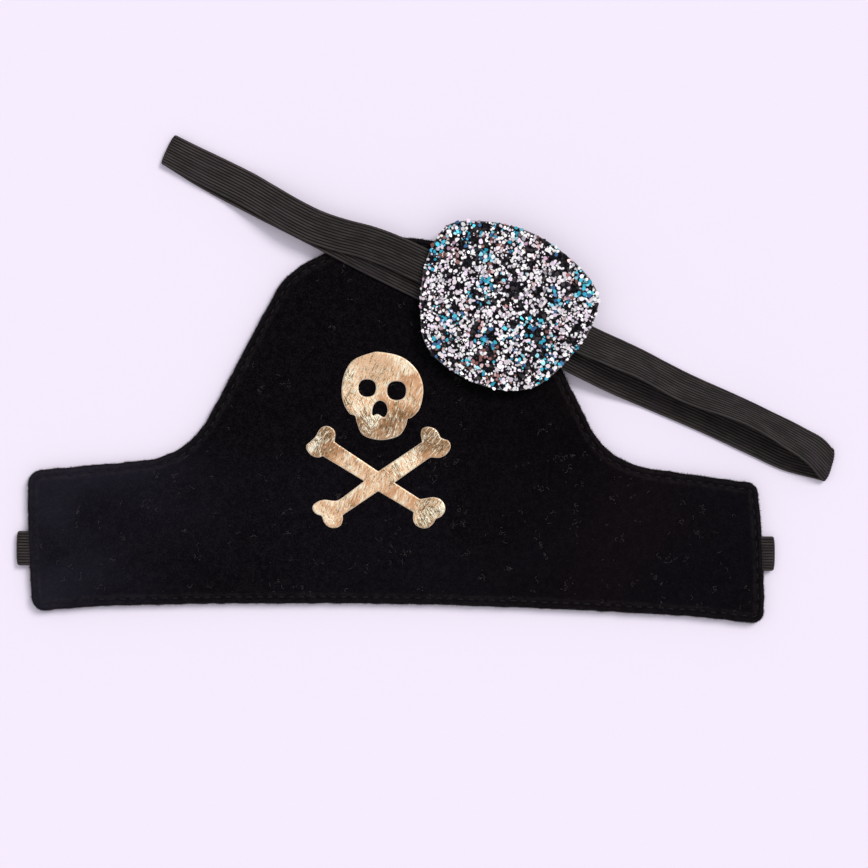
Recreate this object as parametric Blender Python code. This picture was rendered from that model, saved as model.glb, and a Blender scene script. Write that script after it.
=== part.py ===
"""A child's dress-up pirate hat lying flat, with its glitter eye patch laid across the crown.

The velvet face is up (+Z), the crown points along +Y and the band runs along X. The origin is on the
flat underside, on the centre line and 36.5 mm above the hem. The band lies on a narrow elastic that
closes behind the head. The eye patch hangs on its own loop of elastic and simply rests on the hat.
"""

import math

import bmesh
import bpy
from mathutils import Vector

MM = 0.001
GAP = 0.3 * MM  # air between pieces that touch
TINY = 0.01 * MM  # points nearer than this are one point

# The hat's outline, seen from above. Its corners are rounded by the radii below.
HAT_WIDTH = 258.4 * MM  # at the middle of the sides
CROWN_TOP = 92.0 * MM  # the crown's highest point
CROWN_RADIUS = 64.0 * MM  # the round top of the crown
CROWN_SLOPE = math.radians(29.5)  # where that arc ends, before the shoulder
SHOULDER_X = 40.6 * MM
SHOULDER_RADIUS = 26.0 * MM
FLANK_FOOT_X = 73.7 * MM  # where the crown's flank runs down into the band
FLANK_FOOT_RADIUS = 28.0 * MM
WING_END_Y = 7.4 * MM  # the band's top edge at its outer end
RIGHT_WING_LIFT = 0.9 * MM  # the right-hand end is this much higher
WING_SLOPE = math.radians(6.5)
WING_CORNER_RADIUS = 4.4 * MM
SIDE_TAPER_UP = 1.35 * MM  # the sides bow: they are this much narrower at the band's top edge
SIDE_TAPER_DOWN = 1.05 * MM  # and this much at the hem
SIDE_BOW_RADIUS = 300.0 * MM
SIDE_SKEW = 1.5 * MM  # the ends' top corners lie this far to the left, their hem corners to the right
HEM_CORNER_RADIUS = 3.9 * MM
HEM_CORNER_DROOP = 0.9 * MM  # the corners are drawn down this far below the hem's curve
HEM_Y = -36.5 * MM  # the hem at the centre line
HEM_SAG = 4.0 * MM  # the hem's ends are this much lower
HEM_CREST_X = 8.0 * MM  # the hem is highest this far to the right
HEM_STEPS = 12
ARC_STEP = math.radians(8.0)
CURVE_STEPS = 4  # between two knots of a smooth outline

# The hat's layers, from the floor up.
FELT_THICKNESS = 1.8 * MM
INTERLINING_THICKNESS = 1.0 * MM
VELVET_THICKNESS = 0.8 * MM
FELT_INSET = 0.3 * MM  # the velvet rolls this far over the felt's edge
TURNED_EDGE = 0.8 * MM  # the velvet turned down round the sides

# Topstitching, sunk in a furrow in the velvet.
STITCH_INSET = 2.3 * MM
THREAD_WIDTH = 0.5 * MM
THREAD_HEIGHT = 0.35 * MM
FURROW_DEPTH = 0.4 * MM
STITCH_PROUD = 0.15 * MM

# Foil transfers pressed on to the velvet.
FOIL_THICKNESS = 0.2 * MM
FOIL_LIFT = 0.1 * MM
SKULL_CENTRE = (-5.8 * MM, 36.3 * MM)
SKULL_OUTLINE = (
    (-0.7, 15.4), (6.7, 13.8), (12.0, 9.3), (14.3, 3.1), (13.3, -3.9), (10.4, -7.3),
    (9.1, -7.8), (8.4, -10.4), (5.9, -13.9), (-0.4, -15.4), (-6.4, -13.8), (-8.6, -9.6),
    (-9.4, -7.1), (-11.6, -6.1), (-14.0, -1.0), (-13.8, 6.0), (-10.8, 12.0), (-4.6, 14.9),
)  # mm from the skull's centre, through which the edge runs smoothly
EYE_CENTRES = ((-5.3 * MM, 2.7 * MM), (5.0 * MM, 2.0 * MM))
EYE_RADII = (3.05 * MM, 3.3 * MM)
EYE_SQUARENESS = 2.4
EYE_STEPS = 32
NOSE_OUTLINE = (
    (-0.7, -1.6), (-2.5, -2.6), (-3.3, -4.7), (-3.2, -6.9),
    (-1.5, -6.3), (0.9, -7.4), (2.0, -5.0), (1.2, -2.6),
)  # mm from the skull's centre
BONES_CENTRE = (-6.4 * MM, 6.5 * MM)
# Round each end of the two bones, then the corner where the next shaft's straight edge crosses:
# mm from the bones' centre.
BONE_ENDS = (
    ((-15.8, 13.4), (-15.5, 16.1), (-16.3, 17.9), (-18.2, 18.9), (-20.1, 18.5), (-21.4, 17.1),
     (-22.4, 15.2), (-24.0, 13.5), (-25.5, 12.1), (-25.4, 10.5), (-24.2, 8.9), (-22.5, 8.0),
     (-20.9, 7.9), (-19.8, 8.4)),
    ((-12.4, -5.9), (-14.5, -7.1), (-16.6, -7.1), (-18.8, -6.9), (-21.0, -7.5), (-22.8, -9.0),
     (-22.8, -10.7), (-21.5, -12.0), (-19.7, -12.7), (-18.9, -14.7), (-17.3, -16.3),
     (-15.2, -16.7), (-13.1, -15.9), (-12.3, -13.8), (-12.4, -12.2)),
    ((12.4, -10.6), (12.3, -13.1), (13.2, -15.0), (15.4, -16.1), (17.6, -15.9), (19.4, -14.4),
     (20.3, -12.8), (22.0, -12.0), (23.4, -10.0), (23.2, -7.7), (21.6, -5.8), (19.2, -5.2),
     (16.8, -5.6), (14.6, -6.0)),
    ((17.0, 8.1), (18.2, 8.7), (20.8, 8.6), (23.0, 9.5), (24.5, 11.3), (24.9, 13.1), (24.0, 14.7),
     (22.2, 15.3), (21.2, 16.0), (20.4, 17.6), (19.0, 18.9), (16.7, 19.4), (14.9, 18.6),
     (14.4, 16.9), (14.9, 14.0)),
)
BONE_CROSSINGS = ((-5.1, -0.1), (-0.1, -3.5), (5.5, -0.4), (-0.2, 3.4))

# The ribbed elastic that closes the hat behind the head.
BACK_ELASTIC_WIDTH = 12.0 * MM
ELASTIC_THICKNESS = 0.9 * MM
BACK_ELASTIC_Y = -17.9 * MM
BACK_ELASTIC_TILT = math.radians(0.78)
BACK_ELASTIC_FLOOR = 0.1 * MM
LOOP_REACH = 3.9 * MM  # how far each folded loop stands out from the hat's side
ELASTIC_TUCK = 9.0 * MM  # how far its ends are sewn in between felt and velvet

# The eye patch and its strap. The patch is set out across its widest level.
PATCH_CENTRE = (38.4 * MM, 74.8 * MM)
PATCH_TURN = math.radians(-24.1)
PATCH_OUTLINE = (
    (31.0, 0.0), (30.5, 5.2), (28.9, 10.1), (24.4, 13.9), (18.2, 16.8), (12.0, 18.6),
    (4.0, 20.1), (-4.7, 20.2), (-13.0, 18.7), (-19.3, 16.6), (-25.1, 13.9), (-29.3, 10.3),
    (-30.9, 4.5), (-31.0, -2.5), (-29.6, -9.3), (-27.4, -15.9), (-24.1, -22.8), (-20.2, -28.9),
    (-14.0, -33.0), (-6.0, -34.9), (2.5, -35.2), (10.5, -34.1), (17.3, -31.3), (22.3, -27.5),
    (25.4, -22.3), (27.8, -16.4), (29.5, -10.3), (30.7, -5.0),
)  # mm from the middle of its widest level
PATCH_HALF_AT_STRAP = 30.5 * MM
BACKING_THICKNESS = 0.8 * MM
PADDING_THICKNESS = 1.7 * MM
PADDING_INSET = 1.2 * MM
GLITTER_THICKNESS = 0.8 * MM

STRAP_WIDTH = 12.0 * MM
STRAP_BELOW_CENTRE = 5.9 * MM  # the strap's mean line, below the widest level
STRAP_TUCK = 12.0 * MM  # how far each end is sewn in between backing and padding
STRAP_SIDE_GAP = 0.6 * MM
STRAP_STEP = 4.0 * MM
STRAP_LEFT_FOLD = -129.2 * MM
STRAP_RIGHT_FOLD = 126.6 * MM
STRAP_LEAN = math.radians(29.0)  # the right-hand run leans up on its outer edge
LEAN_RISE = 16.0 * MM  # it leans up over this length past the patch
LEAN_END = 20.0 * MM  # and is level again between these distances from the fold
LEAN_FLAT = 2.0 * MM
RUN_CLEARANCE = 2.0 * MM  # the top run stays level this far past the patch's edge
RUN_FALL = 18.0 * MM  # then comes down within this length
FOLD_STEPS = 6
# Where the strap's runs wander across its mean line: (along, across) in mm.
TOP_LEFT_RUN = (
    (-32, -0.1), (-44, -0.2), (-53, -1.0), (-62, -2.7), (-71, -3.8), (-80, -3.7),
    (-90, -2.8), (-100, -1.9), (-118, -1.5), (-129.2, -1.1),
)
BOTTOM_RUN = (
    (-129.2, -1.1), (-117, -2.3), (-93, -3.6), (-70, -4.4), (-50, -5.2), (-20, -5.6),
    (20, -5.9), (44, -6.3), (62, -5.6), (82, -4.9), (101, -4.8), (114, -4.4), (126.6, -2.2),
)
TOP_RIGHT_RUN = (
    (126.6, -2.2), (119, -0.4), (105, 0.6), (92, 0.8), (76, 0.4), (60, 0.3), (46, 0.8),
    (32, 0.6),
)
HAT_REACH_LEFT = 78.0 * MM  # the strap lies on the hat this far to each side
HAT_REACH_RIGHT = 30.0 * MM
DROOP_LENGTH = 32.0 * MM  # and comes down to the floor within this
STRAP_STITCH = (10.0 * MM, 1.6 * MM, 0.25 * MM)  # each bar of sewing: across, along, thick
STITCH_FROM_EDGE = 5.0 * MM

# Heights above the floor that follow from the layers.
INTERLINING_LOW = FELT_THICKNESS + GAP
INTERLINING_HIGH = INTERLINING_LOW + INTERLINING_THICKNESS
VELVET_LOW = INTERLINING_HIGH + GAP
HAT_TOP = VELVET_LOW + VELVET_THICKNESS
STRAP_ON_HAT = HAT_TOP + STITCH_PROUD + GAP + ELASTIC_THICKNESS / 2
STRAP_ON_FLOOR = GAP + ELASTIC_THICKNESS / 2
RUN_SPACING = ELASTIC_THICKNESS + GAP  # between the middles of two runs that lie together
BACKING_LOW = STRAP_ON_HAT + ELASTIC_THICKNESS / 2 + GAP
STRAP_IN_PATCH = BACKING_LOW + BACKING_THICKNESS + GAP + ELASTIC_THICKNESS / 2
PADDING_LOW = BACKING_LOW + BACKING_THICKNESS + GAP
GLITTER_LOW = PADDING_LOW + PADDING_THICKNESS + GAP
PATCH_TOP = GLITTER_LOW + GLITTER_THICKNESS


# Outlines: lists of (x, y) in metres, anticlockwise.

def rounded(corners):
    """A closed outline through corners (x, y, radius), each rounded by an arc within its sides."""
    count = len(corners)
    points = [Vector(corner[:2]) for corner in corners]
    turns, reach = [], []
    for i in range(count):
        before = (points[i] - points[i - 1]).normalized()
        after = (points[(i + 1) % count] - points[i]).normalized()
        turns.append(math.atan2(before.x * after.y - before.y * after.x, before.dot(after)))
        reach.append(corners[i][2] * math.tan(abs(turns[i]) / 2))
    sides = [(points[(i + 1) % count] - points[i]).length for i in range(count)]
    scale = [min(1.0, side / max(reach[i] + reach[(i + 1) % count], MM))
             for i, side in enumerate(sides)]
    outline = []
    for i in range(count):
        length = reach[i] * min(scale[i - 1], scale[i])
        if length < TINY:
            outline.append(tuple(points[i]))
            continue
        before = (points[i] - points[i - 1]).normalized()
        radius = length / math.tan(abs(turns[i]) / 2)
        side = Vector((-before.y, before.x)) * math.copysign(radius, turns[i])
        centre = points[i] - before * length + side
        steps = max(2, math.ceil(abs(turns[i]) / ARC_STEP))
        for step in range(steps + 1):
            angle = turns[i] * step / steps
            arm = -side
            spoke = Vector((arm.x * math.cos(angle) - arm.y * math.sin(angle),
                            arm.x * math.sin(angle) + arm.y * math.cos(angle)))
            outline.append(tuple(centre + spoke))
    return [point for i, point in enumerate(outline)
            if math.dist(point, outline[i - 1]) > TINY]


def hem_height(across):
    return HEM_Y - HEM_SAG * ((across - HEM_CREST_X) / (HAT_WIDTH / 2)) ** 2


def side_corners(sign, wing_end_y):
    """The corners of one side (+1 for the right), from the hem up to the crown."""
    half = HAT_WIDTH / 2
    hem_x = sign * (half - SIDE_TAPER_DOWN) + SIDE_SKEW
    hem_end = hem_height(hem_x) - HEM_CORNER_DROOP
    foot_y = wing_end_y + (half - FLANK_FOOT_X) * math.tan(WING_SLOPE)
    crown_x = CROWN_RADIUS * math.tan(CROWN_SLOPE / 2)
    shoulder_y = CROWN_TOP - (SHOULDER_X - crown_x) * math.tan(CROWN_SLOPE)
    return [
        (hem_x, hem_end, HEM_CORNER_RADIUS),
        (sign * half, (hem_end + WING_END_Y) / 2, SIDE_BOW_RADIUS),
        (sign * (half - SIDE_TAPER_UP) - SIDE_SKEW, wing_end_y, WING_CORNER_RADIUS),
        (sign * FLANK_FOOT_X, foot_y, FLANK_FOOT_RADIUS),
        (sign * SHOULDER_X, shoulder_y, SHOULDER_RADIUS),
        (sign * crown_x, CROWN_TOP, CROWN_RADIUS),
    ]


def hat_outline():
    right = side_corners(1, WING_END_Y + RIGHT_WING_LIFT)
    left = side_corners(-1, WING_END_Y)
    half_hem = HAT_WIDTH / 2 - SIDE_TAPER_DOWN
    hem = []
    for step in range(1, HEM_STEPS):
        across = (2 * step / HEM_STEPS - 1) * half_hem + SIDE_SKEW
        hem.append((across, hem_height(across), 0.0))
    return rounded(right + left[::-1] + hem)


def inset(outline, distance):
    """The outline moved inwards by distance, corner by corner."""
    moved = []
    for i, point in enumerate(outline):
        here = Vector(point)
        before = (here - Vector(outline[i - 1])).normalized()
        after = (Vector(outline[(i + 1) % len(outline)]) - here).normalized()
        normal = Vector((-before.y - after.y, before.x + after.x)).normalized()
        slant = max(0.5, normal.dot(Vector((-before.y, before.x))))
        moved.append(tuple(here + normal * distance / slant))
    return moved


def smooth_run(knots, centre):
    """A smooth curve through knots given in mm from centre, which leaves out the last one."""
    run = []
    last = len(knots) - 1
    for i in range(last):
        a, b, c, d = (Vector(knots[min(max(i + k, 0), last)]) for k in (-1, 0, 1, 2))
        for step in range(CURVE_STEPS):
            t = step / CURVE_STEPS
            point = 0.5 * (2 * b + (c - a) * t + (2 * a - 5 * b + 4 * c - d) * t ** 2
                           + (3 * b - a - 3 * c + d) * t ** 3)
            run.append((centre[0] + point.x * MM, centre[1] + point.y * MM))
    return run


def smooth_loop(knots, centre):
    """A closed smooth curve through knots given in mm from centre."""
    past_ends = (knots[-1], *knots, *knots[:2])
    return smooth_run(past_ends, centre)[CURVE_STEPS:-CURVE_STEPS]


def superellipse(centre, radius, power, steps):
    """A squarish circle."""
    outline = []
    for step in range(steps):
        angle = 2 * math.pi * step / steps
        x = math.copysign(abs(math.cos(angle)) ** (2 / power), math.cos(angle))
        y = math.copysign(abs(math.sin(angle)) ** (2 / power), math.sin(angle))
        outline.append((centre[0] + radius * x, centre[1] + radius * y))
    return outline


# Modelling tools.

def clear_scene():
    for obj in list(bpy.data.objects):
        bpy.data.objects.remove(obj, do_unlink=True)


def new_collection(name):
    collection = bpy.data.collections.new(name)
    bpy.context.scene.collection.children.link(collection)
    return collection


def empty(name, location=(0, 0, 0), turn=0.0):
    frame = bpy.data.objects.new(name, None)
    frame.location = location
    frame.rotation_euler.z = turn
    PARTS.objects.link(frame)
    return frame


def material(name, colour, roughness, metallic=0.0):
    made = bpy.data.materials.new(name)
    made.use_nodes = True
    shader = made.node_tree.nodes["Principled BSDF"]
    shader.inputs["Base Color"].default_value = (*colour, 1.0)
    shader.inputs["Roughness"].default_value = roughness
    shader.inputs["Metallic"].default_value = metallic
    made.diffuse_color = (*colour, 1.0)
    return made


def plate(name, loops, low, high, frame, look=None, collection=None):
    """A flat piece between two heights: the first loop is its edge, the others pierce it."""
    collection = collection or PARTS
    curve = bpy.data.curves.new(name, "CURVE")
    curve.dimensions = "2D"
    curve.fill_mode = "BOTH"
    curve.extrude = (high - low) / 2
    for loop in loops:
        spline = curve.splines.new("POLY")
        spline.points.add(len(loop) - 1)
        for point, (x, y) in zip(spline.points, loop):
            point.co = (x, y, 0.0, 1.0)
        spline.use_cyclic_u = True
    drawn = bpy.data.objects.new(name + "_curve", curve)
    PARTS.objects.link(drawn)
    graph = bpy.context.evaluated_depsgraph_get()
    mesh = bpy.data.meshes.new_from_object(drawn.evaluated_get(graph))
    bpy.data.objects.remove(drawn)
    bpy.data.curves.remove(curve)
    shaped = bmesh.new()
    shaped.from_mesh(mesh)
    bmesh.ops.remove_doubles(shaped, verts=shaped.verts, dist=0.001 * MM)
    bmesh.ops.recalc_face_normals(shaped, faces=shaped.faces)
    shaped.to_mesh(mesh)
    shaped.free()
    mesh.name = name
    mesh.materials.clear()
    if look:
        mesh.materials.append(look)
    obj = bpy.data.objects.new(name, mesh)
    obj.location.z = (low + high) / 2
    obj.parent = frame
    collection.objects.link(obj)
    return obj


def block(name, size, centre, frame, turn=0.0, look=None, collection=None):
    """A box of the given size about centre, turned about Z."""
    mesh = bpy.data.meshes.new(name)
    shaped = bmesh.new()
    bmesh.ops.create_cube(shaped, size=1.0)
    bmesh.ops.scale(shaped, vec=size, verts=shaped.verts)
    shaped.to_mesh(mesh)
    shaped.free()
    if look:
        mesh.materials.append(look)
    obj = bpy.data.objects.new(name, mesh)
    obj.location = centre
    obj.rotation_euler.z = turn
    obj.parent = frame
    (collection or PARTS).objects.link(obj)
    return obj


def as_cutter(obj):
    obj.hide_render = True
    obj.display_type = "WIRE"
    return obj


def combine(obj, other, operation):
    modifier = obj.modifiers.new(operation.title() + " " + other.name, "BOOLEAN")
    modifier.operation = operation
    modifier.object = as_cutter(other)


def cut_plate(obj, name, loops, low, high, frame):
    combine(obj, plate(name, loops, low, high, frame, collection=CUTTERS), "DIFFERENCE")


def cut_block(obj, name, size, centre, frame, turn=0.0):
    combine(obj, block(name, size, centre, frame, turn, collection=CUTTERS), "DIFFERENCE")


def band(name, path, frame, width, thickness, look):
    """A flat strip swept along path, which lists (point, width direction) pairs."""
    mesh = bpy.data.meshes.new(name)
    shaped = bmesh.new()
    rings = []
    for i, (point, across) in enumerate(path):
        forward = (path[min(i + 1, len(path) - 1)][0] - path[max(i - 1, 0)][0]).normalized()
        through = forward.cross(across).normalized() * thickness / 2
        side = across * width / 2
        corners = (side + through, through - side, -side - through, side - through)
        rings.append([shaped.verts.new(point + corner) for corner in corners])
    for here, there in zip(rings, rings[1:]):
        for k in range(4):
            shaped.faces.new((here[k], here[(k + 1) % 4], there[(k + 1) % 4], there[k]))
    shaped.faces.new(reversed(rings[0]))
    shaped.faces.new(rings[-1])
    bmesh.ops.recalc_face_normals(shaped, faces=shaped.faces)
    shaped.to_mesh(mesh)
    shaped.free()
    mesh.materials.append(look)
    obj = bpy.data.objects.new(name, mesh)
    obj.parent = frame
    PARTS.objects.link(obj)
    return obj


def ease(value, start, end):
    """0 at start, 1 at end and smooth in between."""
    share = min(1.0, max(0.0, (value - start) / (end - start)))
    return share * share * (3 - 2 * share)


def fold(start, end, outward, steps):
    """The points of a half turn from start to end, bulging outward, without its two ends."""
    middle = (start + end) / 2
    arm = start - middle
    points = []
    for step in range(1, steps):
        angle = math.pi * step / steps
        points.append(middle + arm * math.cos(angle) + outward * arm.length * math.sin(angle))
    return points


# The hat's pieces.

def elastic_frame_y(x):
    return BACK_ELASTIC_Y + x * math.tan(BACK_ELASTIC_TILT)


def make_back_elastic(frame, look):
    """One strip: sewn in at each side, folded out past the side and back under the hat."""
    low = BACK_ELASTIC_FLOOR + ELASTIC_THICKNESS / 2
    high = FELT_THICKNESS + GAP + ELASTIC_THICKNESS / 2
    fold_x = HAT_WIDTH / 2 + LOOP_REACH - (high - low) / 2 - ELASTIC_THICKNESS / 2
    end_x = HAT_WIDTH / 2 - ELASTIC_TUCK

    def at(x, z):
        return Vector((x, elastic_frame_y(x), z))

    outward = Vector((math.cos(BACK_ELASTIC_TILT), math.sin(BACK_ELASTIC_TILT), 0))
    points = [at(-end_x, high), at(-fold_x, high)]
    points += fold(at(-fold_x, high), at(-fold_x, low), -outward, FOLD_STEPS)
    points += [at(-fold_x, low), at(fold_x, low)]
    points += fold(at(fold_x, low), at(fold_x, high), outward, FOLD_STEPS)
    points += [at(fold_x, high), at(end_x, high)]
    across = Vector((-math.sin(BACK_ELASTIC_TILT), math.cos(BACK_ELASTIC_TILT), 0))
    path = [(point, across) for point in points]
    return band("back_elastic", path, frame, BACK_ELASTIC_WIDTH, ELASTIC_THICKNESS, look)


def cut_elastic_slots(obj, name, low, high, frame):
    """Room at both sides for the elastic's sewn-in ends."""
    reach = ELASTIC_TUCK + LOOP_REACH
    for side, sign in (("left", -1), ("right", 1)):
        x = sign * (HAT_WIDTH / 2 - ELASTIC_TUCK - GAP + reach / 2)
        size = (reach, BACK_ELASTIC_WIDTH + 2 * GAP, high - low)
        centre = (x, elastic_frame_y(x), (low + high) / 2)
        cut_block(obj, name + "_" + side, size, centre, frame, BACK_ELASTIC_TILT)


def make_velvet(outline, frame, look):
    """The velvet face, with its edge turned down over the sides."""
    velvet = plate("front_velvet", [outline], INTERLINING_LOW, HAT_TOP, frame, look)
    inner = inset(outline, TURNED_EDGE)
    cut_plate(velvet, "velvet_hollow", [inner], INTERLINING_LOW - MM, VELVET_LOW, frame)
    cut_elastic_slots(velvet, "velvet_slot", INTERLINING_LOW - MM, VELVET_LOW, frame)
    half_furrow = THREAD_WIDTH / 2 + GAP
    furrow = [inset(outline, STITCH_INSET - half_furrow), inset(outline, STITCH_INSET + half_furrow)]
    cut_plate(velvet, "stitch_furrow", furrow, HAT_TOP - FURROW_DEPTH, HAT_TOP + MM, frame)
    return velvet


def make_thread(outline, frame, look):
    """The topstitching that runs round the whole face, as one ring of thread."""
    half = THREAD_WIDTH / 2
    loops = [inset(outline, STITCH_INSET - half), inset(outline, STITCH_INSET + half)]
    high = HAT_TOP + STITCH_PROUD
    return plate("topstitch_thread", loops, high - THREAD_HEIGHT, high, frame, look)


def make_interlining(outline, frame, look):
    loops = [inset(outline, TURNED_EDGE + GAP)]
    piece = plate("interlining", loops, INTERLINING_LOW, INTERLINING_HIGH, frame, look)
    cut_elastic_slots(piece, "interlining_slot", INTERLINING_LOW - MM, VELVET_LOW, frame)
    return piece


def make_felt(outline, frame, look):
    """The felt back, with a shallow channel that the elastic lies in."""
    felt = plate("back_felt", [inset(outline, FELT_INSET)], 0.0, FELT_THICKNESS, frame, look)
    depth = BACK_ELASTIC_FLOOR + ELASTIC_THICKNESS + GAP
    size = (HAT_WIDTH + 2 * LOOP_REACH, BACK_ELASTIC_WIDTH + 2 * GAP, 2 * depth)
    centre = (0.0, BACK_ELASTIC_Y, 0.0)
    cut_block(felt, "elastic_channel", size, centre, frame, BACK_ELASTIC_TILT)
    return felt


def make_skull(frame, look):
    eyes = []
    for (x, y), radius in zip(EYE_CENTRES, EYE_RADII):
        centre = (SKULL_CENTRE[0] + x, SKULL_CENTRE[1] + y)
        eyes.append(superellipse(centre, radius, EYE_SQUARENESS, EYE_STEPS))
    loops = [smooth_loop(SKULL_OUTLINE, SKULL_CENTRE), *eyes,
             smooth_loop(NOSE_OUTLINE, SKULL_CENTRE)]
    low = HAT_TOP + FOIL_LIFT
    return plate("skull_foil", loops, low, low + FOIL_THICKNESS, frame, look)


def make_crossbones(frame, look):
    """Two crossed bones in one foil."""
    outline = []
    for knots, crossing in zip(BONE_ENDS, BONE_CROSSINGS):
        outline += smooth_run(knots, BONES_CENTRE)
        for x, y in (knots[-1], crossing):
            outline.append((BONES_CENTRE[0] + x * MM, BONES_CENTRE[1] + y * MM))
    low = HAT_TOP + FOIL_LIFT
    return plate("crossbones_foil", [outline], low, low + FOIL_THICKNESS, frame, look)


# The eye patch's pieces, set out in the patch's own frame.

def patch_outline():
    return smooth_loop(PATCH_OUTLINE, (0.0, 0.0))


def wander(knots, along):
    """How far across the mean line a run lies, from its knots in mm."""
    ordered = sorted(knots)
    place = along / MM
    last = len(ordered) - 2
    i = next((k for k in range(last) if place < ordered[k + 1][0]), last)
    a, b = ordered[max(i - 1, 0)], ordered[i]
    c, d = ordered[i + 1], ordered[min(i + 2, len(ordered) - 1)]
    span = c[0] - b[0]
    t = min(1.0, max(0.0, (place - b[0]) / span))
    rise_b = (c[1] - a[1]) / (c[0] - a[0]) * span
    rise_c = (d[1] - b[1]) / (d[0] - b[0]) * span
    t2, t3 = t * t, t * t * t
    across = ((2 * t3 - 3 * t2 + 1) * b[1] + (t3 - 2 * t2 + t) * rise_b
              + (3 * t2 - 2 * t3) * c[1] + (t3 - t2) * rise_c)
    return across * MM


def strap_rest(along):
    """The middle of the bottom run: on the hat, and down to the floor past its edges."""
    left = ease(along, -HAT_REACH_LEFT - DROOP_LENGTH, -HAT_REACH_LEFT)
    right = ease(along, HAT_REACH_RIGHT + DROOP_LENGTH, HAT_REACH_RIGHT)
    return STRAP_ON_FLOOR + (STRAP_ON_HAT - STRAP_ON_FLOOR) * min(left, right)


def strap_lean(along):
    """How far the top run leans, which it only does to the right of the patch."""
    start = PATCH_HALF_AT_STRAP
    rising = ease(along, start, start + LEAN_RISE)
    falling = ease(along, STRAP_RIGHT_FOLD - LEAN_FLAT, STRAP_RIGHT_FOLD - LEAN_END)
    return STRAP_LEAN * min(rising, falling)


def strap_top(along):
    """The middle of the top run, which leaves the patch and comes down on the bottom run."""
    edge = PATCH_HALF_AT_STRAP + RUN_CLEARANCE
    lifted = ease(abs(along), edge + RUN_FALL, edge)
    resting = strap_rest(along) + RUN_SPACING
    resting += math.sin(strap_lean(along)) * STRAP_WIDTH / 2
    return resting + (STRAP_IN_PATCH - resting) * lifted


def strap_path():
    """The strap's points from its left end round to its right end, with its width direction."""
    edge = PATCH_HALF_AT_STRAP
    inner = edge - STRAP_TUCK

    def walk(start, end):
        steps = max(2, round(abs(end - start) / STRAP_STEP))
        return [start + (end - start) * step / steps for step in range(steps + 1)]

    def at(along, across, height, lean=0.0):
        point = Vector((along, across - STRAP_BELOW_CENTRE, height))
        return point, Vector((0.0, math.cos(lean), -math.sin(lean)))

    left = [at(u, wander(TOP_LEFT_RUN, u), strap_top(u)) for u in walk(-inner, STRAP_LEFT_FOLD)]
    bottom = [at(u, wander(BOTTOM_RUN, u), strap_rest(u))
              for u in walk(STRAP_LEFT_FOLD, STRAP_RIGHT_FOLD)]
    right = [at(u, wander(TOP_RIGHT_RUN, u), strap_top(u), strap_lean(u))
             for u in walk(STRAP_RIGHT_FOLD, inner)]
    level = Vector((0.0, 1.0, 0.0))
    left_fold = fold(left[-1][0], bottom[0][0], Vector((-1.0, 0.0, 0.0)), FOLD_STEPS)
    right_fold = fold(bottom[-1][0], right[0][0], Vector((1.0, 0.0, 0.0)), FOLD_STEPS)
    return (left + [(point, level) for point in left_fold]
            + bottom + [(point, level) for point in right_fold] + right)


def make_strap(frame, look):
    return band("patch_strap", strap_path(), frame, STRAP_WIDTH, ELASTIC_THICKNESS, look)


def make_padding(frame, look):
    """The soft middle layer, cut away where the strap's ends are sewn in."""
    padding = plate("patch_padding", [inset(patch_outline(), PADDING_INSET)],
                    PADDING_LOW, PADDING_LOW + PADDING_THICKNESS, frame, look)
    reach = STRAP_TUCK + PADDING_INSET
    size = (reach, STRAP_WIDTH + 2 * STRAP_SIDE_GAP, PADDING_THICKNESS + 2 * MM)
    for side, sign, run in (("left", -1, TOP_LEFT_RUN), ("right", 1, TOP_RIGHT_RUN)):
        inner = PATCH_HALF_AT_STRAP - STRAP_TUCK
        y = wander(run, sign * inner) - STRAP_BELOW_CENTRE
        centre = (sign * (inner - GAP + reach / 2), y, PADDING_LOW + PADDING_THICKNESS / 2)
        cut_block(padding, "padding_slot_" + side, size, centre, frame)
    return padding


def make_strap_stitches(frame, look):
    """The bar of sewing across each end of the strap."""
    across, along, thick = STRAP_STITCH
    height = STRAP_IN_PATCH + ELASTIC_THICKNESS / 2 + GAP / 2 + thick / 2
    for side, sign, run in (("left", -1, TOP_LEFT_RUN), ("right", 1, TOP_RIGHT_RUN)):
        x = sign * (PATCH_HALF_AT_STRAP - STITCH_FROM_EDGE)
        y = wander(run, x) - STRAP_BELOW_CENTRE
        block("strap_stitch_" + side, (along, across, thick), (x, y, height), frame, look=look)


def make_patch(frame, felt, foam, glitter):
    outline = patch_outline()
    plate("patch_backing", [outline], BACKING_LOW, BACKING_LOW + BACKING_THICKNESS, frame, felt)
    make_padding(frame, foam)
    plate("patch_glitter_face", [outline], GLITTER_LOW, PATCH_TOP, frame, glitter)


def main():
    velvet = material("black_velvet", (0.006, 0.006, 0.008), 0.95)
    felt = material("black_felt", (0.012, 0.012, 0.014), 0.98)
    board = material("white_interlining", (0.75, 0.75, 0.72), 0.9)
    foam = material("grey_foam", (0.25, 0.25, 0.26), 0.9)
    elastic = material("black_elastic", (0.03, 0.028, 0.026), 0.75)
    thread = material("black_thread", (0.015, 0.015, 0.018), 0.6)
    foil = material("rose_gold_foil", (0.78, 0.5, 0.33), 0.28, 1.0)
    glitter = material("mixed_glitter", (0.35, 0.33, 0.42), 0.3, 0.4)

    outline = hat_outline()
    hat = empty("hat_frame")
    make_velvet(outline, hat, velvet)
    make_thread(outline, hat, thread)
    make_interlining(outline, hat, board)
    make_felt(outline, hat, felt)
    make_back_elastic(hat, elastic)
    make_skull(hat, foil)
    make_crossbones(hat, foil)

    patch = empty("eye_patch_frame", (*PATCH_CENTRE, 0.0), PATCH_TURN)
    make_patch(patch, felt, foam, glitter)
    make_strap(patch, elastic)
    make_strap_stitches(patch, thread)


clear_scene()
PARTS = new_collection("pirate_hat")
CUTTERS = new_collection("cutters")
main()
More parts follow.
